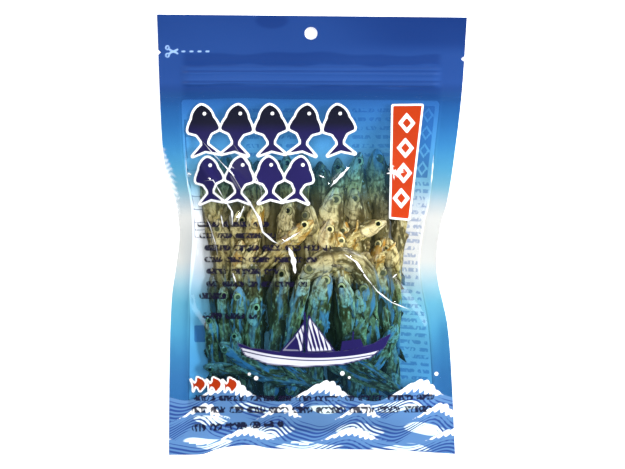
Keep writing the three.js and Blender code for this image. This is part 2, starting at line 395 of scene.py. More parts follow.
def lozenge_ring(centre, x, y):
    from_centre = np.abs(x - centre[0]) * MARK_WIDE + np.abs(y - centre[1]) * MARK_HIGH
    return np.maximum(from_centre - MARK_INSIDE - MARK_THICKNESS, MARK_INSIDE - from_centre)


# The boat: its hull, sails and cabin as outlines, and its masts as bars. The deck sags to its lowest place.
HULL = [
    (-37, -53.5), (-30, -56.0), (-15, -58.0), (2, -58.5), (18, -57.2), (30, -54), (39, -49.0), (36, -55.5),
    (29, -60.8), (15, -64.2), (-5, -65.4), (-22, -64), (-33, -60),
]
SAILS = [
    [(-2.6, -57.6), (-1.6, -40), (5, -49), (11, -57.2)],
    [(-4.8, -57.6), (-3.6, -43), (-9, -50.5), (-15, -57.2)],
]
MASTS = [((-3.2, -48), 20, 0.9, 1.62), ((20, -53), 11, 0.8, 1.5)]
CABIN = [(14, -57.4), (14.8, -52.6), (24, -51.4), (25.5, -55.2)]
DECK_LOW, DECK_SAG = (2, -58.5), 0.0035
RAIL_DEPTH, PLANK_TOP, OUTLINE_HALF_WIDTH = 1.9, 4.2, 0.35


def boat(x, y):
    """The boat's white, its engraved rows and their reach, and its solid dark strokes."""
    hull = outline_distance(HULL, x, y)
    sails = np.minimum.reduce([outline_distance(sail, x, y) for sail in SAILS])
    over_deck = y - DECK_LOW[1] - DECK_SAG * (x - DECK_LOW[0]) ** 2
    engraved = np.minimum(np.maximum(hull, -PLANK_TOP - over_deck), sails)
    strokes = [bar_distance(*mast, x, y) for mast in MASTS] + [
        outline_distance(CABIN, x, y), np.maximum(hull, -RAIL_DEPTH - over_deck),
        np.abs(hull + 0.2) - OUTLINE_HALF_WIDTH, np.abs(sails) - OUTLINE_HALF_WIDTH,
    ]
    rows = np.where(sails < hull, x * 0.9 + 0.25 * y, over_deck)
    return np.minimum(hull, sails), engraved, rows, np.minimum.reduce(strokes)


TOKEN_PLACES, TOKEN_HEIGHT = (-56.5, -48.5, -40.5), -74.5
CUT_LINE, DASHES, BLADES, GRIPS = 91.4, (-64.2, -60.2, -56.2, -52.2), -69.2, -72.2


def cut_marks(x, y):
    """A dashed line to the tear notch, and small open scissors on it."""
    shapes = [bar_distance((at, CUT_LINE), 2.2, 0.9, 0, x, y) for at in DASHES]
    for side in (1, -1):
        grip = disc_distance((GRIPS, CUT_LINE + 1.9 * side), 0.9, x, y)
        shapes += [bar_distance((BLADES, CUT_LINE), 5.5, 0.9, 0.45 * side, x, y), np.abs(grip) - 0.35]
    return np.minimum.reduce(shapes)


# Rows of waves: the height they stand at, how far they rise, their spacing, where one stands, and their foam.
CREST_ROWS = [(-78.5, 4.6, 47, 6, 6.4), (-90, 4.2, 39, -15, 4.6), (-101.5, 3.6, 52, 20, 4.2)]
CREST_LEAN, FOAM_EDGE = 0.55, 0.9
PALE_PATCHES = [
    (-28, -86.5, 11, 2.4), (8, -86, 9, 2.2), (42, -85.5, 13, 2.6), (-50, -92, 9, 2.6), (-22, -98, 13, 2.8),
    (24, -97.5, 12, 3.0), (56, -97, 10, 3.0), (-2, -106, 17, 2.2), (44, -107, 15, 2.0), (-52, -104, 12, 2.6),
]
DROPS = [
    (15, -68.5, 1.1), (18.4, -70.6, 0.7), (-31, -69.0, 0.8), (-27.6, -71.0, 1.1), (62, -69.4, 1.0),
    (-5, -84.6, 0.8),
]


def sea(x, y):
    """The waves: depth under a crest, the swell that the lines follow, foam, the lines' reach and patches."""
    depth, swell, foam, reach = (np.full_like(x, value) for value in (-20.0, 0.0, 20.0, 20.0))
    for base, height, pitch, shift, thickness in CREST_ROWS:
        away = (x - CREST_LEAN * (y - base) - shift + pitch / 2) % pitch - pitch / 2
        turn = 2 * np.pi * away / pitch
        crown = np.exp(-(np.abs(away + 0.5) / (0.24 * pitch)) ** 3)
        puffs = 1.1 * np.abs(np.sin(np.pi * away / 4.3 + 0.4))
        smooth = base + height * (np.cos(turn) + 0.25 * np.cos(2 * turn + 0.8)) - y
        below = smooth + puffs * crown
        fringe = 0.60 + 0.40 * np.abs(np.sin(np.pi * away / 3.1 + 0.8))
        inner = (thickness * fringe + puffs) * crown - FOAM_EDGE
        cap = np.maximum(-below, below - inner) * 0.8
        lines = 13.0 + 3.0 * np.sin(x / 8 + base)
        own = below > 0
        foam = np.where(own, cap, np.minimum(foam, cap))
        reach = np.where(own, np.maximum.reduce([1.0 - cap, FOAM_EDGE - below, below - lines]), reach)
        depth = np.where(own | (below > -0.7) & (depth < 0), below, depth)
        swell = np.where(own, smooth, swell)
    foam = np.minimum.reduce([foam] + [disc_distance((cx, cy), radius, x, y) for cx, cy, radius in DROPS])
    pale = np.minimum.reduce([
        (np.hypot((x - cx) / wide, (y - cy + 0.9 * np.sin(x / 4.5)) / high) - 1) * high
        for cx, cy, wide, high in PALE_PATCHES
    ])
    return depth, swell, foam, reach, np.maximum(pale, -depth + 1)


DARK_SPOT, DARK_SPOT_SIZE = (-20, 107), (8, 4)
RIB_SHADOWS, RIB_SHADOW_HALF_WIDTH = (76.2, 81.4), 0.8


def slack_shade(x, y):
    """Painted shade where the film stands off the back, in a spot and to the top right; painted shadow and
    highlight at the ribs.
    """
    inside = smoothstep(66 - np.abs(x), 0, 4)
    low_edge = 84.0 + 0.5 * np.sin(x / 7) + 0.3 * np.sin(x / 2.9)
    high_edge = 90.0 + 0.5 * np.sin(x / 11 + 2) + 0.4 * np.sin(x / 4.3) - 1.4 * smoothstep(x, 10, 60)
    above_zip = smoothstep(y, low_edge, low_edge + 1) * (1 - smoothstep(y, high_edge, high_edge + 1.2))
    edge = 73.4 + 0.6 * np.sin(x / 9) + 0.3 * np.sin(x / 3.7) - 0.015 * x
    below_zip = smoothstep(y, 66.9, 67.6) * (1 - smoothstep(y - edge, 0, 1.2))
    dark_spot = 1 - smoothstep(np.hypot((x - DARK_SPOT[0]) / DARK_SPOT_SIZE[0], (y - DARK_SPOT[1]) / DARK_SPOT_SIZE[1]), 0.8, 1.2)
    # Painted shade that darkens the top right of the header.
    corner = smoothstep(x, -5, 60) * smoothstep(y, 89, 97)
    cloud = np.sin(x / 13 + 1.3 * np.sin(y / 9)) * np.cos(y / 7 + x / 31)
    slack = inside * (0.20 * above_zip + 0.15 * below_zip)
    shade = 1 - slack - 0.20 * dark_spot - 0.24 * corner + 0.03 * cloud
    # Painted shadows under the zip's ribs, with painted highlights either side of each.
    for at in RIB_SHADOWS:
        shadow = 0.22 * ridge(y - at, RIB_SHADOW_HALF_WIDTH)
        shade += inside * (0.10 * ridge(y - at - 1.0, 0.9) - shadow + 0.10 * ridge(y - at + 1.0, 0.9))
    return shade + 0.06 * inside * ridge(y - 79, 5)


def keep_print(film, shapes, shade):
    """Keeps the print's distances on a film, and its painted shade and highlights as a colour: shaded film is
    bluer too.
    """
    for name, distance in shapes.items():
        keep(film.data, name, "FLOAT", np.clip(distance, -20, 20))
    powers = (1.9, 1.4, 0.9, 0)
    keep(film.data, "shade", "FLOAT_COLOR", np.stack([shade ** power for power in powers], axis=1))


front_film, x, y = film_sheet("front_film", 236, 336, front_height, facing_up=True)
PRINT = {"title": shoal(x, y), "panel": outline_distance(PANEL, x, y), "cut_marks": cut_marks(x, y)}
PRINT["marks"] = np.minimum.reduce([lozenge_ring(centre, x, y) for centre in PANEL_MARKS])
PRINT["words"] = np.minimum(small_print(SHADE_LINES, x, y), small_print(FOOT_LINES, x, y))
PRINT["tokens"] = np.minimum.reduce([
    outline_distance(little_fish((at, TOKEN_HEIGHT), 6.6, 7.0, 0.2), x, y) for at in TOKEN_PLACES
])
PRINT["boat"], PRINT["engraved"], PRINT["rows"], PRINT["strokes"] = boat(x, y)
depth, PRINT["swell"], PRINT["foam"], PRINT["reach"], PRINT["pale"] = sea(x, y)
# The painted glare on the gathered left seal is kept like a print shape.
PRINT["sea"], PRINT["painted_glare"] = -depth, glare_distance(x, y)
# The painted highlights along the sharp creases are kept like print shapes.
PRINT["painted_glint across"], PRINT["painted_glint reach"] = crease_painted_glint(x, y)
keep_print(front_film, PRINT, slack_shade(x, y))


class Wiring:
    """Adds nodes to a tree. An input is given a number, a colour, or the node or output it comes from."""

    def __init__(self, tree):
        self.tree = tree

    def feed(self, into, given):
        if isinstance(given, bpy.types.Node):
            given = given.outputs[0]
        if isinstance(given, bpy.types.NodeSocket):
            self.tree.links.new(given, into)
        else:
            into.default_value = (*given, 1) if into.type == "RGBA" else given

    def node(self, kind, *values, named=None, **settings):
        """A node with its settings, its first inputs in order, and other inputs by name."""
        made = self.tree.nodes.new(kind)
        for setting, value in settings.items():
            setattr(made, setting, value)
        for into, given in zip(made.inputs, values):
            self.feed(into, given)
        for name, given in (named or {}).items():
            self.feed(made.inputs[name], given)
        return made

    def number(self, operation, *values):
        return self.node("ShaderNodeMath", *values, operation=operation).outputs[0]

    def vector(self, operation, *values):
        return self.node("ShaderNodeVectorMath", *values, operation=operation).outputs[0]

    def split(self, vector):
        return self.node("ShaderNodeSeparateXYZ", vector).outputs

    def between(self, *value_and_range, how="SMOOTHSTEP"):
        """Rises from 0 to 1, or from one given number to the other, as a value goes from low to high."""
        return self.node("ShaderNodeMapRange", *value_and_range, interpolation_type=how).outputs[0]

    def blend(self, factor, first, second, how="MIX"):
        mixed = self.node("ShaderNodeMix", factor, data_type="RGBA", blend_type=how)
        self.feed(mixed.inputs[6], first)
        self.feed(mixed.inputs[7], second)
        return mixed.outputs[2]

    def noise(self, place, named, **settings):
        return self.node("ShaderNodeTexNoise", place, named={"Scale": 1.0, **named}, **settings).outputs[0]

    def stretched(self, place, scale):
        return self.node("ShaderNodeMapping", place, named={"Scale": scale})

    def kept(self, name, output="Fac"):
        """What the mesh keeps under a name."""
        return self.node("ShaderNodeAttribute", attribute_name=name).outputs[output]

    def ramp(self, source, stops):
        """A colour, or a number as a grey, that changes along a value through (place, colour) stops."""
        made = self.node("ShaderNodeValToRGB", source)
        elements = made.color_ramp.elements
        elements.remove(elements[1])
        for k, (place, colour) in enumerate(stops):
            red_green_blue = colour if isinstance(colour, tuple) else (colour,) * 3
            element = elements.new(place) if k else elements[0]
            element.position, element.color = place, (*red_green_blue, 1)
        return made.outputs[0]


def new_group(name, kind, takes, gives):
    """A node group with named inputs and outputs: its tree, its wiring, what it takes and what it gives."""
    group = bpy.data.node_groups.new(name, kind)
    for in_out, sockets in (("INPUT", takes), ("OUTPUT", gives)):
        for label, socket_kind, *value in sockets:
            made = group.interface.new_socket(label, in_out=in_out, socket_type="NodeSocket" + socket_kind)
            if value:
                made.default_value = value[0]
    wire = Wiring(group)
    return group, wire, wire.node("NodeGroupInput").outputs, wire.node("NodeGroupOutput").inputs


def new_material(name):
    material = bpy.data.materials.new(name)
    material.use_nodes = True
    material.node_tree.nodes.clear()
    return material, Wiring(material.node_tree)


INK_EDGE = 0.16


def layer_group():
    """One layer of ink laid over what is printed below it."""
    group, wire, given, result = new_group(
        "ink layer", "ShaderNodeTree",
        [("Colour below", "Color"), ("Cover below", "Float"), ("Distance", "Float"), ("Spread", "Float", 0.0),
         ("Ink", "Color"), ("Strength", "Float", 1.0)],
        [("Colour", "Color"), ("Cover", "Float")],
    )
    inside = wire.number("SUBTRACT", given["Spread"], given["Distance"])
    edge = wire.between(inside, -INK_EDGE, INK_EDGE, how="LINEAR")
    mask = wire.number("MULTIPLY", edge, given["Strength"])
    added = wire.number("MULTIPLY", mask, wire.number("SUBTRACT", 1.0, given["Cover below"]))
    cover = wire.number("ADD", given["Cover below"], added)
    share = wire.number("DIVIDE", mask, cover)
    wire.feed(result["Colour"], wire.blend(share, given["Colour below"], given["Ink"]))
    wire.feed(result["Cover"], cover)
    return group


def engraving_group():
    """Parallel engraved lines that follow a depth, and taper off towards the edge of their reach."""
    group, wire, given, result = new_group(
        "engraved lines", "ShaderNodeTree",
        [("Depth", "Float", 0.0), ("Reach", "Float", 0.0), ("Half pitch", "Float", 0.9),
         ("Half width", "Float", 0.48)],
        [("Distance", "Float")],
    )
    taper = wire.number("MINIMUM", wire.number("MULTIPLY", given["Reach"], -0.20), given["Half width"])
    across = wire.number("PINGPONG", given["Depth"], given["Half pitch"])
    wire.feed(result["Distance"], wire.number("SUBTRACT", across, taper))
    return group


INK_LAYER, ENGRAVED_LINES = layer_group(), engraving_group()
LETTER_WIDTH, LETTER_HEIGHT = 1.8, 3.0
BLOTCH_WIDTH, BLOTCH_HEIGHT = 9, 26


def broken_words(wire, place, bars):
    """The bars of the small print, broken up into scribbled strokes."""
    letters = wire.stretched(place, (POUCH_WIDTH / LETTER_WIDTH, POUCH_HEIGHT / LETTER_HEIGHT, 1))
    level = wire.number("SUBTRACT", wire.noise(letters, {"Detail": 0.0}), 0.5)
    gaps = wire.number("MULTIPLY", wire.number("ABSOLUTE", level), 2.6)
    return wire.number("MAXIMUM", bars, wire.number("SUBTRACT", gaps, 0.36))


def film_material(name, tint, body, cover, patches, layers, gloss):
    """Tinted clear film: body ink covers part of it, solid inks lie over that, and the face is glossy."""
    material, wire = new_material(name)
    place = wire.node("ShaderNodeUVMap", uv_map="film")
    up = wire.split(place)["Y"]
    # Blotches of body ink, as the patches ramp gives them: on the front film, a faint painted blue sheen.
    blotches = wire.noise(
        wire.stretched(place, (POUCH_WIDTH / BLOTCH_WIDTH, POUCH_HEIGHT / BLOTCH_HEIGHT, 1)),
        {"Detail": 2.0, "Distortion": 0.8},
    )
    blotch = wire.between(blotches, 0.42, 0.72)
    colour = wire.ramp(up, body)
    covering = wire.number("MULTIPLY_ADD", blotch, wire.ramp(up, patches), wire.ramp(up, cover))
    for mark, spread, ink, strength in layers:
        if isinstance(mark, tuple):
            depth, reach = wire.kept(mark[0]), wire.kept(mark[1])
            distance = wire.node("ShaderNodeGroup", depth, reach, node_tree=ENGRAVED_LINES)
        # The sharp creases' painted highlights: white out to their reach either side of the crest.
        elif mark == "wear":
            distance = wire.number("ABSOLUTE", wire.kept("painted_glint across"))
            distance = wire.number("SUBTRACT", distance, wire.kept("painted_glint reach"))
        elif mark == "words":
            distance = broken_words(wire, place, wire.kept(mark))
        else:
            distance = wire.kept(mark)
        if isinstance(ink, list):
            ink = wire.ramp(up, ink)
        layer = wire.node("ShaderNodeGroup", node_tree=INK_LAYER, named={
            "Colour below": colour, "Cover below": covering, "Distance": distance, "Spread": spread,
            "Ink": ink, "Strength": strength,
        })
        colour, covering = layer.outputs["Colour"], layer.outputs["Cover"]
    # The ink is multiplied by the painted shade and highlights kept on the film.
    inked = wire.node("ShaderNodeBsdfPrincipled", named={
        "Base Color": wire.vector("MULTIPLY", colour, wire.kept("shade", "Color")),
        "Roughness": 0.5, "Specular IOR Level": 0.1,
    })
    clear = wire.node("ShaderNodeBsdfTransparent", wire.ramp(up, tint))
    printed = wire.node("ShaderNodeMixShader", covering, clear, inked)
    fineness = {"Scale": 7.0, "Detail": 3.0, "Roughness": 0.45, "Distortion": 0.6}
    crinkle = wire.noise(place, fineness, noise_type="RIDGED_MULTIFRACTAL")
    bump = wire.node("ShaderNodeBump", named={"Strength": 0.6, "Distance": 0.8 * MM, "Height": crinkle})
    shine = wire.node("ShaderNodeBsdfGlossy", named={"Roughness": gloss, "Normal": bump})
    facing = wire.node("ShaderNodeLayerWeight", named={"Blend": 0.5, "Normal": bump}).outputs["Facing"]
    mirror = wire.number("MULTIPLY_ADD", wire.number("POWER", facing, 4.0), 0.8, 0.06)
    wire.node("ShaderNodeOutputMaterial", wire.node("ShaderNodeMixShader", mirror, printed, shine))
    return material


NAVY, WHITE, RED = (0.013, 0.010, 0.075), (0.93, 0.95, 0.97), (0.36, 0.030, 0.004)
WORD_INK = (0.006, 0.005, 0.022)
HULL_WHITE, PALE_MARK = (0.56, 0.58, 0.67), (0.25, 0.40, 0.68)
SEA_BLUE, PALE_SEA, LINE_BLUE = (0.088, 0.20, 0.415), (0.66, 0.82, 0.88), (0.024, 0.062, 0.235)
# Colours and shares of cover that change up the film, from its foot at 0 to its top at 1.
TITLE_INK = [
    (0.60, (0.013, 0.010, 0.080)), (0.728, (0.011, 0.009, 0.066)), (0.752, (0.006, 0.0065, 0.020)),
    (0.78, (0.005, 0.006, 0.016)),
]
FRONT_TINT = [
    (0.12, (0.32, 0.64, 0.89)), (0.22, (0.35, 0.69, 0.91)), (0.285, (0.42, 0.77, 0.94)),
    (0.345, (0.50, 0.83, 0.96)), (0.377, (0.66, 0.88, 0.97)), (0.41, (0.86, 0.94, 0.98)),
    (0.44, (0.98, 0.985, 0.99)), (0.54, (0.98, 0.985, 0.99)), (0.575, (0.80, 0.88, 0.94)),
    (0.61, (0.52, 0.76, 0.88)), (0.65, (0.38, 0.68, 0.86)), (0.70, (0.30, 0.58, 0.82)),
    (0.79, (0.19, 0.41, 0.71)), (0.82, (0.15, 0.35, 0.67)),
]
FRONT_BODY = [
    (0.0, (0.10, 0.30, 0.62)), (0.2, (0.07, 0.20, 0.30)), (0.35, (0.12, 0.26, 0.18)),
    (0.5, (0.12, 0.24, 0.18)), (0.7, (0.05, 0.28, 0.60)), (0.83, (0.016, 0.057, 0.225)),
    (1.0, (0.010, 0.039, 0.175)),
]
FRONT_COVER = [
    (0.0, 0.06), (0.25, 0.01), (0.55, 0.01), (0.66, 0.06), (0.74, 0.20), (0.80, 0.42), (0.845, 1.0),
]
# How much body ink lies in blotches up the film: a faint painted blue sheen over the fish.
FRONT_PAINTED_SHEEN = [(0.10, 0.02), (0.34, 0.02), (0.43, 0.0), (0.60, 0.0), (0.68, 0.06), (0.75, 0.0)]
# Layers of ink from the lowest up: the shape, how far it spreads past its edge, its ink and its strength.
FRONT_LAYERS = [
    ("sea", 0.0, SEA_BLUE, 1.0), ("pale", 0.0, PALE_SEA, 1.0), (("swell", "reach"), 0.0, LINE_BLUE, 1.0),
    ("foam", 0.0, WHITE, 1.0), ("words", 0.0, WORD_INK, 0.95),
    ("tokens", 0.75, WHITE, 1.0), ("tokens", 0.0, RED, 1.0),
    ("boat", 0.0, HULL_WHITE, 1.0), (("rows", "engraved"), 0.15, NAVY, 1.0), ("strokes", 0.0, NAVY, 1.0),
    ("panel", 0.9, WHITE, 1.0), ("panel", 0.0, RED, 1.0), ("marks", 0.0, WHITE, 1.0),
    ("title", 1.05, WHITE, 1.0), ("title", 0.0, TITLE_INK, 1.0), ("cut_marks", 0.0, PALE_MARK, 1.0),
    # The last two are painted highlights in white: glare on the gathered left seal, and shine along the
    # creases.
    ("painted_glare", 0.0, WHITE, 0.75), ("wear", 0.0, WHITE, 0.92),
]
front_film.data.materials.append(film_material(
    "printed clear film", FRONT_TINT, FRONT_BODY, FRONT_COVER, FRONT_PAINTED_SHEEN, FRONT_LAYERS, gloss=0.05
))
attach(front_film, "root")
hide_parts("pouch")

# ---------------------------------------------------------------------------------------------------------
# Back film: the same laminate, pressed flat where the pouch lies. A white panel is printed on it, with rows
# of small blue print and a table, and shows through the clear front. Its margins carry the blue fade.
# ---------------------------------------------------------------------------------------------------------
BACK_SWELL = [(FOOT, 0), (-92, 7), (-78, 13), (-20, 15), (15, 13.5), (40, 9.5), (56, 5), (70, 0)]
LOWEST = 0.05
BACK_LINES = (
    [(left, right, 62 - 4.4 * k, 1.9, 0) for left, right in ((-33, -2), (20, 44)) for k in range(6)]
    + [(43, 66, 26 - 3.6 * k, 1.9, -0.06) for k in range(28)]
)
TABLE_RULES, TABLE_MIDDLE = (57, 49, 38.5, 32, 19, 12.5, 6, 2.3, -1.3), -57.5
LABEL_HALF_WIDTH, LABEL_HALF_HEIGHT, LABEL_MIDDLE, LABEL_CORNER, LABEL_MARGIN = 64.5, 85.5, -20, 2, 1.2
SIDE_BAR, SIDE_BAR_HALF_WIDTH, SIDE_BAR_HALF_HEIGHT, SIDE_MARK_PITCH = (61.2, 46.8), 3.2, 18.2, 9
SQUARE, SQUARE_HALF_WIDTH = (-54.5, -49.5), 4.2


def back_height(across, up, x, y):
    swell = through(BACK_SWELL, up) * dome(across)
    return np.maximum(seam_height(across, up) - FILM - swell - zip_rise(across, up), LOWEST)


def side_panel(across, up):
    """A bar up the label's right side, with lozenges cut out of it."""
    beside, above = np.abs(across - SIDE_BAR[0]), up - SIDE_BAR[1]
    bar = np.maximum(beside - SIDE_BAR_HALF_WIDTH, np.abs(above) - SIDE_BAR_HALF_HEIGHT)
    lozenges = beside + 0.75 * np.abs(above % SIDE_MARK_PITCH - SIDE_MARK_PITCH / 2) - 2.3
    return np.maximum(bar, 0.6 - np.abs(lozenges))


def back_shade(across, x, y):
    """Painted shade on the back: a little darker at its lower sides, with a painted highlight along the side
    seals.
    """
    # Painted shade at the lower sides, and a painted highlight along the seals' inner edges.
    lower = 1 - smoothstep(y, -52, -30)
    right = 0.10 * smoothstep(x, 30, 50) + (0.16 + 0.12 * ridge(y + 46, 16)) * smoothstep(x, 60, 66)
    left = 0.20 * smoothstep(-x, 40, 56) * (1 - smoothstep(-x, 60, 66)) * (1 - smoothstep(y, -40, 15))
    return 1 + 0.16 * ridge(np.abs(across) - HALF_WIDTH + SIDE_SEAL, 0.9) - lower * right - left


back_film, x, y = film_sheet("back_film", 200, 300, back_height, facing_up=False)
across, up = laid_flat(x, y)
corner_x = np.abs(across) - LABEL_HALF_WIDTH - np.where(across < 0, 3.2, 1.2) * ridge(up, 45)
corner_y = np.abs(up - LABEL_MIDDLE) - LABEL_HALF_HEIGHT
label = np.hypot(np.maximum(corner_x, 0), np.maximum(corner_y, 0)) - LABEL_CORNER
label += np.minimum(np.maximum(corner_x, corner_y), 0)
rules = [bar_distance((TABLE_MIDDLE - 2.6 * ridge(at, 45), at), 16, 0.5, 0, across, up) for at in TABLE_RULES]
rules.append(np.maximum(np.abs(corner_x - 0.6) - 0.3, np.maximum(np.abs(up - 28) - 29.5, across)))
square = np.maximum(np.abs(x - SQUARE[0]), np.abs(y - SQUARE[1])) - SQUARE_HALF_WIDTH
BACK_PRINT = {
    "label": label, "words": np.maximum(small_print(BACK_LINES, x, y), label + LABEL_MARGIN),
    "rules": np.minimum.reduce(rules), "badge": np.minimum(square, side_panel(across, up)),
}
keep_print(back_film, BACK_PRINT, back_shade(across, x, y))
# The back's body ink, which shows at the seals: its grey at the waist is painted shade of the gathered film.
BACK_BODY = [
    (0.0, (0.12, 0.22, 0.36)), (0.18, (0.25, 0.29, 0.40)), (0.28, (0.35, 0.46, 0.51)),
    (0.38, (0.44, 0.51, 0.53)), (0.44, (0.50, 0.51, 0.49)), (0.56, (0.52, 0.52, 0.50)),
    (0.68, (0.40, 0.55, 0.59)), (0.79, (0.20, 0.36, 0.51)), (0.83, (0.018, 0.068, 0.26)),
]
BACK_COVER, NO_PATCHES = [(0.0, 0.9), (1.0, 0.97)], [(0.0, 0.0), (1.0, 0.0)]
BACK_LAYERS = [
    ("label", 0.0, WHITE, 1.0), ("words", 0.0, (0.16, 0.28, 0.58), 0.6),
    ("rules", 0.0, (0.10, 0.15, 0.28), 0.75), ("badge", 0.0, (0.10, 0.20, 0.50), 0.7),
]
back_film.data.materials.append(film_material(
    "printed back film", FRONT_TINT, BACK_BODY, BACK_COVER, NO_PATCHES, BACK_LAYERS, gloss=0.15
))
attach(back_film, "root")
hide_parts("pouch")

# ---------------------------------------------------------------------------------------------------------
# Dried anchovies: whole small fish, salted and dried hard. Each has a pointed head with a large ringed eye,
# a silver gill cover that stands proud, a shrivelled body with grooves along it, and thin curled fins.
# Two fish are modelled straight, with the mouth shut and open, and then bent along a spine for each fish.
# ---------------------------------------------------------------------------------------------------------
FISH_LENGTH, BODY_END, SHRIVEL = 70, 62, 1.5
# Along the fish from the snout: how far the back stands above the spine, the belly below and each flank out.
FISH_SECTIONS = [
    (0.0, 0.7, 0.7, 0.5), (0.8, 1.5, 1.6, 1.1), (2.2, 2.5, 2.5, 1.7), (4.5, 3.6, 3.7, 2.2),
    (7.5, 4.4, 4.8, 2.6), (10.5, 4.8, 5.4, 2.85), (13.0, 5.0, 5.6, 3.0), (14.2, 5.0, 5.5, 2.65),
    (18, 5.0, 5.4, 2.7), (24, 4.8, 5.2, 2.7), (32, 4.4, 4.7, 2.55), (40, 3.8, 4.0, 2.2),
    (48, 3.0, 3.0, 1.7), (55, 2.2, 2.1, 1.2), (60, 1.7, 1.6, 0.7), (62, 1.8, 1.7, 0.5),
]
BODY_SIDES, EYE_SIDES, JAW_SIDES = 20, 12, 12
GILL_EDGE, GILL_RADIUS = 13.6, 5.55
EYE_X, EYE_Z, EYE_SIZE, EYE_OUT = 5.4, 0.9, 2.6, 2.62
SKIN, EYE_BALL, FIN, LINING = 0, 1, 2, 3
# The inside of an open mouth, and the outlines of the fins in the plane of the fish.
LINING_CORNERS = [
    (1.2, 0.9, -0.5), (10.5, 2.0, -2.6), (10.5, -2.0, -2.6), (1.2, -0.9, -0.5), (9.6, 1.5, -4.2),
    (9.6, -1.5, -4.2),
]
TAIL = [
    (61, 1.6), (64, 3.4), (69.6, 6.0), (68, 2.6), (65.5, 0.3), (68, -2.4), (70, -5.8), (64, -3.3), (61, -1.5),
]
BACK_FIN = [
    (26, 4.0), (27.8, 6.1), (28.9, 6.5), (29.6, 5.9), (30.9, 6.1), (31.4, 5.2), (32.8, 5.0), (34.5, 3.8),
]
TAIL_SIDE_FIN = [(40, -3.4), (41.8, -5.4), (43.2, -4.7), (44, -4.0), (45.6, -3.6), (47, -2.6)]
BELLY_FIN = [(25, -4.6), (28.5, -6.6), (29, -4.6)]
BREAST_FIN, BREAST_FIN_OUT = [(14.5, -2.6), (22, -4.8), (21, -3.4), (16, -1.6)], 2.55


def fan(middle, first, count):
    return [(middle, first + (j + 1) % count, first + j) for j in range(count)]


def band(first, second, count):
    """Quads between two rings of corners."""
    return [(first + j, first + (j + 1) % count, second + (j + 1) % count, second + j) for j in range(count)]


class FishMesh:
    """Corners and faces gathered piece by piece, with what each corner is, and how far out in an eye."""

    def __init__(self):
        self.corners, self.faces, self.kinds, self.radii = [], [], [], []

    def add(self, corners, faces, kind, radii=None):
        first = len(self.corners)
        self.corners += [tuple(corner) for corner in corners]
        self.faces += [tuple(first + i for i in face) for face in faces]
        self.kinds += [kind] * len(corners)
        self.radii += radii or [1.0] * len(corners)

    def tube(self, rings, kind):
        """A closed skin over rings of corners, with a cap at both ends."""
        around, last = len(rings[0]), (len(rings) - 1) * len(rings[0])
        quads = [quad for first in range(0, last, around) for quad in band(first, first + around, around)]
        caps = [tuple(reversed(range(around))), tuple(range(last, last + around))]
        self.add(np.concatenate(rings), quads + caps, kind)

    def plate(self, outline, thickness=0.25, aside=0.0):
        """A thin fin, cut to an outline in the plane of the fish."""
        count, middle = len(outline), np.mean(outline, axis=0)
        sides = (aside + thickness / 2, aside - thickness / 2)
        corners = [(px, side, pz) for side in sides for px, pz in outline]
        corners += [(middle[0], side, middle[1]) for side in sides]
        faces = []
        for i in range(count):
            j = (i + 1) % count
            faces += [(2 * count, i, j), (2 * count + 1, count + j, count + i), (i, count + i, count + j, j)]
        self.add(corners, faces, FIN)


def body_ring(station, mouth_open):
    """A ring of skin round the fish: grooved along the flanks, with a gill cover over the body behind it."""
    around = np.linspace(0, 2 * np.pi, BODY_SIDES, endpoint=False)
    places, *profiles = np.array(FISH_SECTIONS).T
    back, belly, flank = (through(list(zip(places, profile)), station) for profile in profiles)
    body = smoothstep(station, 15, 21) * (1 - smoothstep(station, 50, 60))
    if mouth_open:
        belly *= 0.35 + 0.65 * smoothstep(station, 3, 12)
    z = np.where(np.cos(around) > 0, back, belly) * np.cos(around)
    y = flank * np.sign(np.sin(around)) * np.abs(np.sin(around)) ** 0.85
    level = z / (back + belly)
    y *= 1 - 0.22 * smoothstep(-level, 0.1, 0.5)
    grooves = 0.09 * np.sin(13 * level + 0.9 * np.sin(station / 5)) + 0.05 * np.sin(17 * level + station / 3)
    hollow = 0.16 * np.exp(-((level + 0.22) / 0.16) ** 2)
    y *= 1 + body * (grooves - hollow)
    z = z + body * 0.16 * np.sin(station / 1.7 + 3 * np.sign(z)) * (np.abs(level) > 0.3)
    gill = np.sqrt(np.maximum(GILL_RADIUS ** 2 - z ** 2, 0)) - 3
    x = station + math.exp(-((station - GILL_EDGE) / 4) ** 2) * gill
    if not mouth_open:
        mouth_line = np.hypot(np.maximum(station - 8.5, 0), z + 0.6 + 0.32 * station)
        y *= 1 - 0.22 * np.exp(-(mouth_line / 0.6) ** 2) * (station > 0.6)
    return np.stack([x, y, z], axis=1)


def add_eye(fish, side):
    """A shallow ball with a raised pupil and a rim, seen as rings round its middle."""
    angles = np.linspace(0, 2 * np.pi, EYE_SIDES, endpoint=False) * side
    rings = [0.3, 0.5, 0.6, 0.85, 1.0]
    corners, shares = [(EYE_X, side * EYE_OUT, EYE_Z)], [0.0]
    for share in rings:
        out = side * (EYE_OUT - 0.18 * share - 0.62 * share ** 6 - (0.12 if 0.5 < share < 0.7 else 0))
        reach = EYE_SIZE * share
        ring = [(EYE_X + reach * math.cos(angle), out, EYE_Z + reach * math.sin(angle)) for angle in angles]
        corners += ring
        shares += [share] * EYE_SIDES
    faces = fan(0, 1, EYE_SIDES)
    for k in range(len(rings) - 1):
        faces += band(1 + EYE_SIDES * k, 1 + EYE_SIDES * (k + 1), EYE_SIDES)
    fish.add(corners, faces, EYE_BALL, shares)


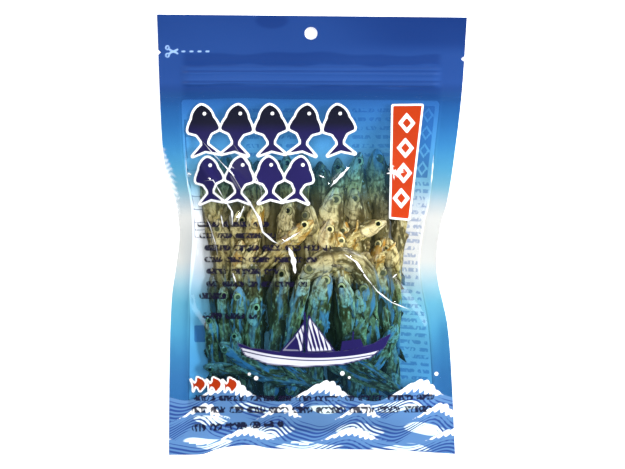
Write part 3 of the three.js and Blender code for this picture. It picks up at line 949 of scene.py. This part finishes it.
def add_jaw(fish):
    """The lower jaw hanging open, and the lining behind it."""
    turn = np.linspace(0, 2 * np.pi, JAW_SIDES, endpoint=False)
    rings = []
    for share in np.linspace(0, 1, 9):
        half = (2.1 - 1.3 * share) * (1 if share < 0.95 else 0.6)
        middle = np.array([9.5 - 8.6 * share, 0, -3.4 - 4.6 * share - 1.2 * math.sin(math.pi * share)])
        thick = 0.45 + 0.5 * (1 - share)
        lift = thick * np.cos(turn) + 0.5 * half * np.sin(turn) ** 2
        rings.append(middle + np.stack([0.5 * thick * np.cos(turn), half * np.sin(turn), lift], axis=1))
    fish.tube(rings[::-1], SKIN)
    fish.add(LINING_CORNERS, [(0, 1, 2, 3), (1, 4, 5, 2)], LINING)


def straight_fish(name, mouth_open):
    """One fish, straight along x with its snout at the origin."""
    fish = FishMesh()
    stations = np.concatenate([np.linspace(0, 13.0, 15), np.linspace(14.2, BODY_END, 27)])
    fish.tube([body_ring(station, mouth_open) for station in stations], SKIN)
    for side in (1, -1):
        add_eye(fish, side)
    if mouth_open:
        add_jaw(fish)
    fish.plate(TAIL, thickness=0.3)
    for fin in (BACK_FIN, TAIL_SIDE_FIN, BELLY_FIN):
        fish.plate(fin)
    for side in (1, -1):
        fish.plate(BREAST_FIN, aside=side * BREAST_FIN_OUT)
    mesh = bpy.data.meshes.new(name)
    mesh.from_pydata((np.array(fish.corners) * MM).tolist(), [], fish.faces)
    mesh.shade_smooth()
    keep(mesh, "kind", "FLOAT", fish.kinds)
    keep(mesh, "eye_radius", "FLOAT", fish.radii)
    keep(mesh, "skin_place", "FLOAT_VECTOR", np.array(fish.corners, np.float32) / FISH_LENGTH)
    return put_in_scene(name, mesh)


def inside_top(x, y):
    """The lowest that the front film hangs over a place, without its folds."""
    across, up = laid_flat(x, y)
    return seam_height(across, up) + through(FRONT_SWELL, up) * dome(across) - 1.0


def inside_bottom(x, y):
    across, up = laid_flat(x, y)
    return np.maximum(seam_height(across, up) - through(BACK_SWELL, up) * dome(across), 0.8)


SPINE_POINTS, HALF_THICKNESS = 11, 3.0


def lay_fish(snout, lean, turn, length, depth, slope, roll, belly, tone):
    """The spine of one fish. lean is the way that its tail points from straight down, and turn how far the
    body bends from there, in degrees. depth is how far the head lies under the film, and slope how fast the
    fish goes down from there."""
    share = np.linspace(0, 1, SPINE_POINTS)
    heading = np.radians(lean + turn * smoothstep(share, 0, 0.8))
    middle, step = (heading[1:] + heading[:-1]) / 2, length / (SPINE_POINTS - 1)
    x = snout[0] + np.concatenate([[0], np.cumsum(np.sin(middle) * step)])
    y = snout[1] - np.concatenate([[0], np.cumsum(np.cos(middle) * step)])
    size, tilt = length / FISH_LENGTH, math.radians(roll)
    thick = HALF_THICKNESS * size * (1 - 0.5 * smoothstep(share, 0.5, 1.0)) * (1 + 0.5 * abs(math.sin(tilt)))
    top, bottom = inside_top(x, y), inside_bottom(x, y)
    z = np.maximum(top - thick - depth - slope * length * share, bottom + thick)
    z = np.minimum(z, np.maximum(top - thick, (top + bottom) / 2))
    z = np.convolve(np.pad(z, 1, mode="edge"), [0.25, 0.5, 0.25], mode="valid")
    points = np.stack([x, y, z], axis=1)
    along = np.gradient(points, axis=0)
    along /= np.linalg.norm(along, axis=1, keepdims=True)
    upward = np.array([0, 0, 1.0]) * belly
    upward = upward - along * (along @ upward)[:, None]
    upward /= np.linalg.norm(upward, axis=1, keepdims=True)
    flank = upward * math.cos(tilt) + np.cross(along, upward) * math.sin(tilt)
    return points, flank, size, tone


# The fish that show, by the place of the snout in the pouch: snout, lean, turn, length, depth, slope, roll,
# belly side, tone from dark olive (-1) to golden (1) and silver (1.4), and whether the mouth is open.
SHOWN_FISH = [
    ((-52, 38), 3, 4, 66, 1.2, 0.20, 20, 1, -0.1, 0), ((-42.5, 41), -3, 5, 64, 1.8, 0.20, -15, -1, -0.5, 0),
    ((-32.5, 38), 3, -4, 68, 1.0, 0.20, 25, 1, -0.2, 0), ((-23, 36), 0, 4, 64, 1.6, 0.20, 0, -1, -0.4, 0),
    ((-13, 40), 5, -5, 66, 0.8, 0.20, 10, -1, 0.7, 0), ((-4, 42), -4, 3, 64, 1.4, 0.20, -20, 1, -0.3, 0),
    ((5, 35), 5, 0, 66, 1.8, 0.20, 30, -1, -0.4, 0), ((13, 38), 2, 3, 64, 2.6, 0.20, -10, 1, -0.5, 0),
    ((24, 41), -14, 14, 66, 0.3, 0.19, 5, -1, 0.55, 0), ((32, 42.5), 3, 2, 68, 0.2, 0.19, 10, -1, -0.3, 0),
    ((41.5, 39), 4, -4, 66, 1.6, 0.20, -10, 1, -0.4, 0),
    ((-25.5, 18), -12, 10, 64, 0.2, 0.19, 5, -1, 0.7, 0),
    ((-11.5, 17), -5, 5, 66, 0.3, 0.19, 20, -1, -0.1, 0),
    ((-1.5, 14.5), 2, 0, 64, 1.2, 0.19, 35, 1, -0.2, 0), ((12, 23), -11, 12, 76, 0.0, 0.18, 5, -1, 0.2, 0),
    ((20.5, 23), 4, 0, 68, 1.2, 0.18, 15, -1, 0.0, 0), ((1, 7), -52, 14, 62, 0.2, 0.18, 10, 1, 0.85, 0),
    ((9, 7.5), -10, 8, 62, -0.2, 0.18, 5, -1, 1.3, 0), ((16, 7), 12, 0, 60, 1.4, 0.20, 30, 1, 0.95, 1),
    ((13, 1.5), 6, -5, 58, 0.3, 0.20, -5, -1, 0.9, 0), ((36.8, 6.3), -70, 34, 62, -0.2, 0.12, -5, 1, 1.4, 0),
    ((36.2, -1.2), -22, 12, 60, 0.8, 0.18, 40, 1, 0.9, 1), ((37.8, -2), 7, -4, 62, 0.8, 0.18, 30, 1, 0.5, 0),
    ((-35, -2.5), -4, 2, 60, 0.5, 0.19, 10, -1, 0.8, 0), ((-27, -4), -32, 30, 60, 0.5, 0.19, 25, 1, 0.5, 1),
    ((-46, 8), 3, -2, 64, 0.6, 0.19, 15, 1, 0.25, 0), ((-36, 12), -2, 2, 62, 1.4, 0.19, -20, -1, 0.1, 0),
    ((-5.5, -21.5), 135, -162, 80, -0.6, 0.04, 5, -1, -0.1, 0),
    ((7, -17), -10, 8, 64, 0.8, 0.18, 5, -1, 0.3, 0),
    ((14.5, -20.5), 10, -14, 64, 0.6, 0.18, 5, 1, 0.4, 0), ((26.5, -22), 4, 6, 60, 1.2, 0.18, 15, 1, 0.0, 0),
    ((33, -14), 8, -6, 62, 1.6, 0.18, -15, -1, -0.2, 0), ((-44, -25.5), 4, 0, 58, 0.4, 0.16, 15, -1, 0.4, 0),
    ((-36, -26), -2, 3, 58, 0.6, 0.16, -10, 1, 0.3, 0), ((-27.2, -31), -8, 8, 58, 0.0, 0.16, 5, -1, 0.5, 0),
    ((-50.5, -39), 2, 2, 46, 0.5, 0.12, 10, 1, 0.1, 0), ((-38, -46.5), 3, 8, 44, 0.4, 0.10, 5, 1, 0.2, 0),
    ((41, -80), 184, 6, 52, 1.2, 0.08, 10, -1, 0.1, 0), ((-14.5, -14), -4, 2, 64, 0.8, 0.18, -15, 1, -0.2, 0),
    ((-11, -82), 168, -4, 62, 1.2, 0.10, -5, -1, -0.1, 0),
    ((-21, -84), 172, 6, 60, 1.6, 0.10, 10, 1, -0.3, 0),
    ((1, -85), 176, 8, 60, 1.6, 0.10, 10, 1, -0.5, 0), ((31, -84), 186, -6, 58, 1.4, 0.10, 5, 1, -0.2, 0),
    ((20, -83), 171, 10, 62, 1.0, 0.10, -15, -1, -0.3, 0), ((-46, -54), 58, 10, 56, 0.2, 0.03, 10, 1, 0.0, 0),
    ((-38, -66), 74, 12, 54, 0.4, 0.02, -10, 1, -0.2, 0), ((6, -62), 62, 8, 50, 0.4, 0.03, 10, -1, -0.4, 0),
    ((42, -44), -24, -10, 46, 0.6, 0.06, 10, 1, 0.2, 0), ((-22, -57), 50, 8, 46, 0.0, 0.03, 10, -1, -0.3, 0),
    ((14, -60), 66, -12, 44, 0.0, 0.03, -10, 1, -0.5, 0), ((-3, -17), -14, 3, 60, 3.0, -0.03, 10, 1, 0.4, 0),
    ((3, -24), -8, 3, 54, 3.6, -0.03, -10, -1, 0.1, 0), ((23, -27), 2, -6, 52, 4.2, -0.03, 10, 1, 0.1, 0),
    ((-54, -66), 84, 6, 50, 0.3, 0.02, 5, 1, -0.2, 0), ((-30, -12), 4, -2, 58, 2.8, 0.06, 10, -1, -0.3, 0),
]
RANK_DEPTHS, RANK_SNOUTS, RANK_LEFT, RANK_RIGHT, RANK_SPACING = (6.4, 12.0, 17.6), (34, -20), -48, 44, 10.4
TAIL_BELOW_SNOUT, ROOM_UNDER, RANK_SLOPE = 40, 5, 0.02


def packed_below():
    """Fish under the ones that show, in level ranks, as far down as the pouch has room for them."""
    rng = np.random.default_rng(11)
    laid = []
    for rank_depth in RANK_DEPTHS:
        for first in RANK_SNOUTS:
            for x in np.arange(RANK_LEFT, RANK_RIGHT, RANK_SPACING):
                snout = (x + rng.uniform(-1.5, 1.5), first + rng.uniform(-5, 4))
                lean, turn, length = rng.normal(0, 5), rng.normal(0, 7), rng.uniform(56, 66)
                depth = rank_depth + rng.uniform(-0.6, 0.6)
                tail = np.array([snout[0], snout[1] - TAIL_BELOW_SNOUT])
                if inside_top(*tail) - inside_bottom(*tail) > rank_depth + ROOM_UNDER:
                    # A tone of -1 or lower paints these deep fish in shade.
                    roll, belly, tone = rng.uniform(-25, 25), rng.choice((-1, 1)), rng.uniform(-1.6, -1.0)
                    laid.append((snout, lean, turn, length, depth, RANK_SLOPE, roll, belly, tone, 0))
    return laid


def spines(name, fish):
    """One chain of points for each fish, with the way that its flank faces, and its size, tone and seed."""
    laid = [lay_fish(*each[:9]) for each in fish]
    mesh = bpy.data.meshes.new(name)
    mesh.from_pydata((np.concatenate([points for points, *_ in laid]) * MM).tolist(), [], [])
    rng = np.random.default_rng(5)
    number = np.repeat(np.arange(len(laid)), SPINE_POINTS)
    keep(mesh, "number", "INT", number)
    keep(mesh, "flank", "FLOAT_VECTOR", np.concatenate([flank for _, flank, *_ in laid]))
    measures = np.array([(size, tone, rng.uniform()) for _, _, size, tone in laid])
    keep(mesh, "measure", "FLOAT_VECTOR", measures[number])
    return put_in_scene(name, mesh)


THINNEST, PLUMPEST, LUMPS_PER_METRE = 0.86, 1.12, 190.0


def bending_tree():
    """Puts a copy of the straight fish on every spine and bends it to lie along it."""
    tree, wire, given, result = new_group(
        "bend a fish along each spine", "GeometryNodeTree",
        [("Spines", "Geometry"), ("Fish", "Object"), ("Fish length", "Float", FISH_LENGTH * MM),
         ("Shrivel", "Float", SHRIVEL * MM), ("Skin", "Material")],
        [("Laid fish", "Geometry")],
    )
    node, number, vector = wire.node, wire.number, wire.vector

    def attribute(name, kind):
        made = node("GeometryNodeInputNamedAttribute", data_type=kind, named={"Name": name})
        return made.outputs["Attribute"]

    def scaled(direction, by):
        return node("ShaderNodeVectorMath", direction, operation="SCALE", named={"Scale": by}).outputs[0]

    def stored(geometry, name, value, **settings):
        named = {"Geometry": geometry, "Name": name, "Value": value}
        return node("GeometryNodeStoreNamedAttribute", named=named, **settings)

    points = node("GeometryNodeMeshToPoints", named={"Mesh": given["Spines"]})
    curves = node("GeometryNodePointsToCurves", points, named={"Curve Group ID": attribute("number", "INT")})
    count = node("GeometryNodeAttributeDomainSize", curves, component="CURVE").outputs["Spline Count"]
    starts = node("GeometryNodeMeshLine", named={"Count": count, "Offset": (0, 0, 0)})
    model = node("GeometryNodeObjectInfo", named={"Object": given["Fish"]}).outputs["Geometry"]
    copies = node("GeometryNodeInstanceOnPoints", named={"Points": starts, "Instance": model})
    copies = stored(copies, "spine", node("GeometryNodeInputIndex"), data_type="INT", domain="INSTANCE")
    real = node("GeometryNodeRealizeInstances", copies)

    place = wire.split(node("GeometryNodeInputPosition"))
    along = number("DIVIDE", place["X"], given["Fish length"])

    def on_spine(name):
        return node(
            "GeometryNodeSampleCurve", mode="FACTOR", use_all_curves=False, data_type="FLOAT_VECTOR",
            named={"Curves": curves, "Value": attribute(name, "FLOAT_VECTOR"), "Factor": along,
                   "Curve Index": attribute("spine", "INT")},
        ).outputs

    spine, measures = on_spine("flank"), wire.split(on_spine("measure")["Value"])
    size, tone, seed = measures["X"], measures["Y"], measures["Z"]
    tangent = spine["Tangent"]
    upright = vector("NORMALIZE", vector("CROSS_PRODUCT", tangent, spine["Value"]))
    outward = vector("CROSS_PRODUCT", upright, tangent)
    plump = wire.between(seed, 0.0, 1.0, THINNEST, PLUMPEST, how="LINEAR")
    aside = scaled(outward, number("MULTIPLY", place["Y"], size))
    rise = scaled(upright, number("MULTIPLY", place["Z"], number("MULTIPLY", size, plump)))
    bent = vector("ADD", vector("ADD", aside, rise), spine["Position"])
    moved = node("GeometryNodeSetPosition", named={"Geometry": real, "Position": bent})
    lumps = node("ShaderNodeTexNoise", named={"Scale": LUMPS_PER_METRE, "Detail": 1.0})
    level = wire.between(lumps, 0.0, 1.0, -0.5, 0.5, how="LINEAR")
    push = scaled(node("GeometryNodeInputNormal"), number("MULTIPLY", level, given["Shrivel"]))
    fish = node("GeometryNodeSetPosition", named={"Geometry": moved, "Offset": push})
    for name, value in (("tone", tone), ("seed", seed)):
        fish = stored(fish, name, value, data_type="FLOAT", domain="POINT")
    coloured = node("GeometryNodeSetMaterial", named={"Geometry": fish, "Material": given["Skin"]})
    wire.feed(result[0], coloured)
    return tree


# Colours of the skin. Where there are two, the first is for fish under the clear waist of the film and the
# second for fish under its blue, which starts this far from the waist, in metres.
WAIST, CLEAR_TO, BLUE_FROM = 0.006, 0.018, 0.036
FLANK = ((0.41, 0.355, 0.20), (0.23, 0.155, 0.075))
DARK_STREAK = ((0.048, 0.042, 0.014), (0.060, 0.034, 0.008))
PALE_STREAK = ((0.60, 0.56, 0.37), (0.42, 0.38, 0.25))
DARK_RAY, PALE_RAY = ((0.12, 0.09, 0.045), (0.05, 0.032, 0.015)), ((0.33, 0.28, 0.15), (0.10, 0.07, 0.035))
DULL, BRIGHT = ((0.63, 0.615, 0.485), (0.52, 0.49, 0.33)), ((1.06, 0.99, 0.66), (0.92, 0.90, 0.66))
# Painted shade for the fish that lie deep in the pile.
PAINTED_DEEP_SHADE = ((0.070, 0.056, 0.014), (0.024, 0.019, 0.006))
BACK, BELLY, PALE_MOTTLE = (0.070, 0.054, 0.018), (0.50, 0.44, 0.22), (0.74, 0.72, 0.56)
GRAIN, SCALE_LINE, GOLD = (0.045, 0.036, 0.012), (0.060, 0.042, 0.014), (0.30, 0.165, 0.014)
CREAM_GILL, SILVER_GILL, BLUE_GILL = (0.67, 0.63, 0.46), (0.72, 0.69, 0.60), (0.50, 0.56, 0.60)
DARK_RING, PALE_RING, EYE_RIM = (0.16, 0.16, 0.085), (0.60, 0.58, 0.40), (0.06, 0.05, 0.022)
BLACK_PUPIL, CLOUDED_PUPIL, JAW_LINING = (0.008, 0.011, 0.008), (0.085, 0.095, 0.075), (0.46, 0.25, 0.045)
DULL_SHINE, BRIGHT_SHINE, HEAD_SHINE = (0.085, 0.180, 0.28), (0.160, 0.31, 0.45), (0.24, 0.43, 0.53)
# The gill cover's edge and the cheek's are arcs, in shares of the fish's length.
GILL_END, GILL_RADIUS_SQUARED, CHEEK_AHEAD = 0.1514, 0.00629, 0.070


def fish_skin():
    """Dry skin: dark olive back, khaki flank, silver streaks, pale gill, gold in pale fish; painted blue
    sheen and deep shade.
    """
    material, wire = new_material("dried fish skin")
    number, between, blend = wire.number, wire.between, wire.blend
    skin_place = wire.kept("skin_place", "Vector")
    seed, tone, kind, radius = (wire.kept(name) for name in ("seed", "tone", "kind", "eye_radius"))

    def noise(stretch, detail=3.0, shift=1.0):
        own_part = wire.node("ShaderNodeCombineXYZ", *[number("MULTIPLY", seed, 37.0 * shift)] * 3)
        return wire.noise(wire.vector("MULTIPLY_ADD", skin_place, stretch, own_part), {"Detail": detail})

    def strongest(first, second):
        return number("MAXIMUM", first, second)

    def both(first, second):
        return number("MULTIPLY", first, second)

    place = wire.split(skin_place)
    along, level = place["X"], place["Z"]
    position = wire.split(wire.node("ShaderNodeTexCoord").outputs["Object"])
    tinted = between(number("ABSOLUTE", number("SUBTRACT", position["Y"], WAIST)), CLEAR_TO, BLUE_FROM)
    streaks, mottle, grain = noise((7, 22, 28)), noise((24, 40, 44)), noise((70, 110, 110))
    patches = noise((11, 14, 22), 2.0)

    back = between(number("ADD", level, number("MULTIPLY_ADD", patches, 0.06, -0.03)), 0.005, 0.05)
    skin = blend(back, blend(tinted, *FLANK), BACK)
    skin = blend(both(between(level, -0.010, -0.055), 0.6), skin, BELLY)
    skin = blend(between(streaks, 0.50, 0.64, 0.0, 0.62), skin, blend(tinted, *PALE_STREAK))
    dark = blend(tinted, *DARK_STREAK)
    skin = blend(between(streaks, 0.47, 0.36, 0.0, 0.85), skin, dark)
    skin = blend(between(mottle, 0.54, 0.70, 0.0, 0.75), skin, PALE_MOTTLE)
    skin = blend(between(mottle, 0.48, 0.36, 0.0, 0.75), skin, dark)

    # The gill cover: the skin ahead of a round edge, pale below the eye and cleanest on the silver fish.
    round_edge = strongest(number("SUBTRACT", GILL_RADIUS_SQUARED, both(level, level)), 0.0)
    behind = number("SUBTRACT", along, number("ADD", number("POWER", round_edge, 0.5), GILL_END))
    head = between(behind, 0.004, -0.004)
    pale = both(both(head, between(level, 0.034, 0.012)), between(tone, -0.7, 0.6, 0.35, 1.0))
    clean = strongest(between(mottle, 0.38, 0.60, 0.12, 0.95), between(tone, 1.1, 1.4, 0.0, 0.6))
    gill_cover = blend(tinted, blend(between(tone, 1.1, 1.4), CREAM_GILL, SILVER_GILL), BLUE_GILL)
    skin = blend(both(pale, clean), skin, gill_cover)
    gold = both(between(patches, 0.44, 0.58), between(tone, 0.3, 1.0, 0.0, 0.95))
    gold = both(gold, between(tone, 1.4, 1.1, 0.25, 1.0))
    skin = blend(both(gold, between(along, 0.50, 0.10)), skin, GOLD)

    # Dark lines along the jaw, round the gill cover and down the cheek, and grain all over.
    jaw = number("ABSOLUTE", number("MULTIPLY_ADD", along, 0.34, number("ADD", level, 0.006)))
    jaw_line = both(between(jaw, 0.006, 0.002), between(along, 0.135, 0.120))
    rim = both(between(number("ABSOLUTE", behind), 0.011, 0.004), between(level, 0.06, 0.04))
    cheek = number("ABSOLUTE", number("ADD", behind, CHEEK_AHEAD))
    cheek_line = both(between(cheek, 0.007, 0.001, 0.0, 0.7), between(level, 0.02, 0.0))
    skin = blend(both(strongest(strongest(jaw_line, rim), cheek_line), 0.62), skin, SCALE_LINE)
    skin = blend(between(grain, 0.50, 0.68, 0.0, 0.35), skin, GRAIN)

    # The eyes, the fins and the lining of an open mouth.
    in_eye, in_fin, in_mouth = (number("COMPARE", kind, each, 0.4) for each in (EYE_BALL, FIN, LINING))
    ring = blend(between(tone, -0.6, 0.9), DARK_RING, PALE_RING)
    pupil = blend(between(seed, 0.35, 0.75), BLACK_PUPIL, CLOUDED_PUPIL)
    ball = blend(between(radius, 0.48, 0.58), pupil, ring)
    ball = blend(between(radius, 0.86, 0.93), ball, EYE_RIM)
    rays = between(noise((60, 40, 26), 1.0), 0.40, 0.60)
    fins = blend(rays, blend(tinted, *DARK_RAY), blend(tinted, *PALE_RAY))
    colour = blend(in_mouth, blend(in_fin, blend(in_eye, skin, ball), fins), JAW_LINING)
    brightness = blend(between(tone, -0.9, 0.9), blend(tinted, *DULL), blend(tinted, *BRIGHT))
    colour = blend(1.0, colour, brightness, "MULTIPLY")

    # Silver streaks with a painted blue sheen, only on fish under the blue film, and painted shade on the
    # fish that lie deep.
    blue_sheen = both(between(noise((4, 14, 19), 2.0, 1.7), 0.50, 0.60), both(tinted, 0.85))
    blue_sheen = both(blue_sheen, between(seed, 0.10, 0.55, 0.40, 1.0))
    blue_sheen = both(blue_sheen, number("SUBTRACT", 1.0, in_eye))
    shining = blend(between(tone, -0.6, 0.6), DULL_SHINE, BRIGHT_SHINE)
    # A painted highlight on the heads of the brighter fish.
    shining = blend(both(head, between(tone, 0.25, 0.75)), shining, HEAD_SHINE)
    colour = blend(both(blue_sheen, between(streaks, 0.36, 0.52)), colour, shining)
    # Painted shade: fish with a tone below -0.6 darken to near black, as if deep in the pile's shadow.
    colour = blend(between(tone, -0.6, -1.3, 0.0, 0.86), colour, blend(tinted, *PAINTED_DEEP_SHADE))

    roughness = blend(in_eye, between(streaks, 0.3, 0.7, 0.50, 0.28), (0.12, 0.12, 0.12))
    height = number("ADD", mottle, both(grain, 0.35))
    bump = wire.node("ShaderNodeBump", named={"Strength": 0.5, "Distance": 0.5 * MM, "Height": height})
    named = {"Base Color": colour, "Roughness": roughness, "Normal": bump}
    wire.node("ShaderNodeOutputMaterial", wire.node("ShaderNodeBsdfPrincipled", named=named))
    return material


BEND, FISH_SKIN = bending_tree(), fish_skin()
MODIFIER_INPUTS = {item.name: item.identifier for item in BEND.interface.items_tree if item.in_out == "INPUT"}
every_fish = SHOWN_FISH + packed_below()
for name, mouth_open in (("shut_mouth_fish", False), ("open_mouth_fish", True)):
    model = straight_fish(name + "_model", mouth_open)
    laid = spines(name + "_spines", [each for each in every_fish if bool(each[9]) == mouth_open])
    bending = laid.modifiers.new("bend", "NODES")
    bending.node_group = BEND
    bending[MODIFIER_INPUTS["Fish"]] = model
    bending[MODIFIER_INPUTS["Fish length"]] = FISH_LENGTH * MM
    bending[MODIFIER_INPUTS["Shrivel"]] = SHRIVEL * MM
    bending[MODIFIER_INPUTS["Skin"]] = FISH_SKIN
    evaluated = laid.evaluated_get(bpy.context.evaluated_depsgraph_get())
    fish = put_in_scene(name, bpy.data.meshes.new_from_object(evaluated))
    for helper in (laid, model):
        bpy.data.objects.remove(helper)
    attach(fish, "root")
    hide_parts("pouch")

# ---------------------------------------------------------------------------------------------------------
# Pale floor, studio light and the camera, which looks straight down on the pouch. The wide softboxes are
# kept out of the film's reflections, as a polarising filter would, and small lamps give it its sparkle.
# ---------------------------------------------------------------------------------------------------------
FLOOR_SIZE, FLOOR_GREY, FLOOR_GLOW = 6, 0.93, 0.5
bpy.ops.mesh.primitive_plane_add(size=FLOOR_SIZE)
floor = bpy.context.object
floor.name = "floor"
pale, wire = new_material("pale floor")
paper = wire.node("ShaderNodeBsdfPrincipled", named={
    "Base Color": (FLOOR_GREY,) * 3, "Roughness": 0.8, "Emission Color": (1, 1, 1),
    "Emission Strength": FLOOR_GLOW,
})
wire.node("ShaderNodeOutputMaterial", paper)
floor.data.materials.append(pale)

world = bpy.data.worlds.new("studio")
bpy.context.scene.world = world
world.use_nodes = True
world.node_tree.nodes["Background"].inputs["Color"].default_value = (0.95, 0.97, 1.0, 1)
world.node_tree.nodes["Background"].inputs["Strength"].default_value = 0.25
world.cycles_visibility.glossy = False


def softbox(name, place, size, power, in_reflections):
    """A lamp that either lights the pouch or shows in the film's shine."""
    light = bpy.data.lights.new(name, "AREA")
    light.shape, light.size, light.size_y, light.energy = "RECTANGLE", size[0], size[1], power
    lamp = put_in_scene(name, light)
    lamp.location = place
    lamp.rotation_euler = (-Vector(place)).to_track_quat("-Z", "Y").to_euler()
    lamp.visible_glossy, lamp.visible_diffuse = in_reflections, not in_reflections


# Strip lamps, by their turn round the pouch, their slant from straight up, their length and their power.
STRIPS, STRIP_DISTANCE, STRIP_WIDTH = [(48, 72, 0.5, 16), (136, 62, 0.4, 12)], 1.3, 0.2
softbox("overhead", (0.10, 0.10, 1.70), (0.9, 0.9), 17.5, False)
softbox("left_side", (-1.05, 0.25, 0.85), (0.6, 0.6), 8, False)
softbox("right_side", (1.05, 0.10, 0.85), (0.6, 0.6), 29, False)
for k, (turn, slant, length, power) in enumerate(STRIPS):
    turn, slant = math.radians(turn), math.radians(slant)
    aside, up = STRIP_DISTANCE * math.sin(slant), STRIP_DISTANCE * math.cos(slant)
    place = (aside * math.cos(turn), aside * math.sin(turn), up)
    softbox(f"strip_{k}", place, (length, STRIP_WIDTH), power, True)

# The picture is this many pixels across, each this wide, in metres, in the plane that the seams lie near.
PIXEL, PIXELS_ACROSS, VIEW_DISTANCE, SEAM_PLANE = 0.0005, 625, 1.5, 0.003
camera = bpy.data.cameras.new("camera")
camera.lens = camera.sensor_width * VIEW_DISTANCE / (PIXELS_ACROSS * PIXEL)
eye = put_in_scene("camera", camera)
eye.location = (PIXEL / 2, 0.0, SEAM_PLANE + VIEW_DISTANCE)
bpy.context.scene.camera = eye
bpy.context.scene.view_settings.view_transform = "Standard"
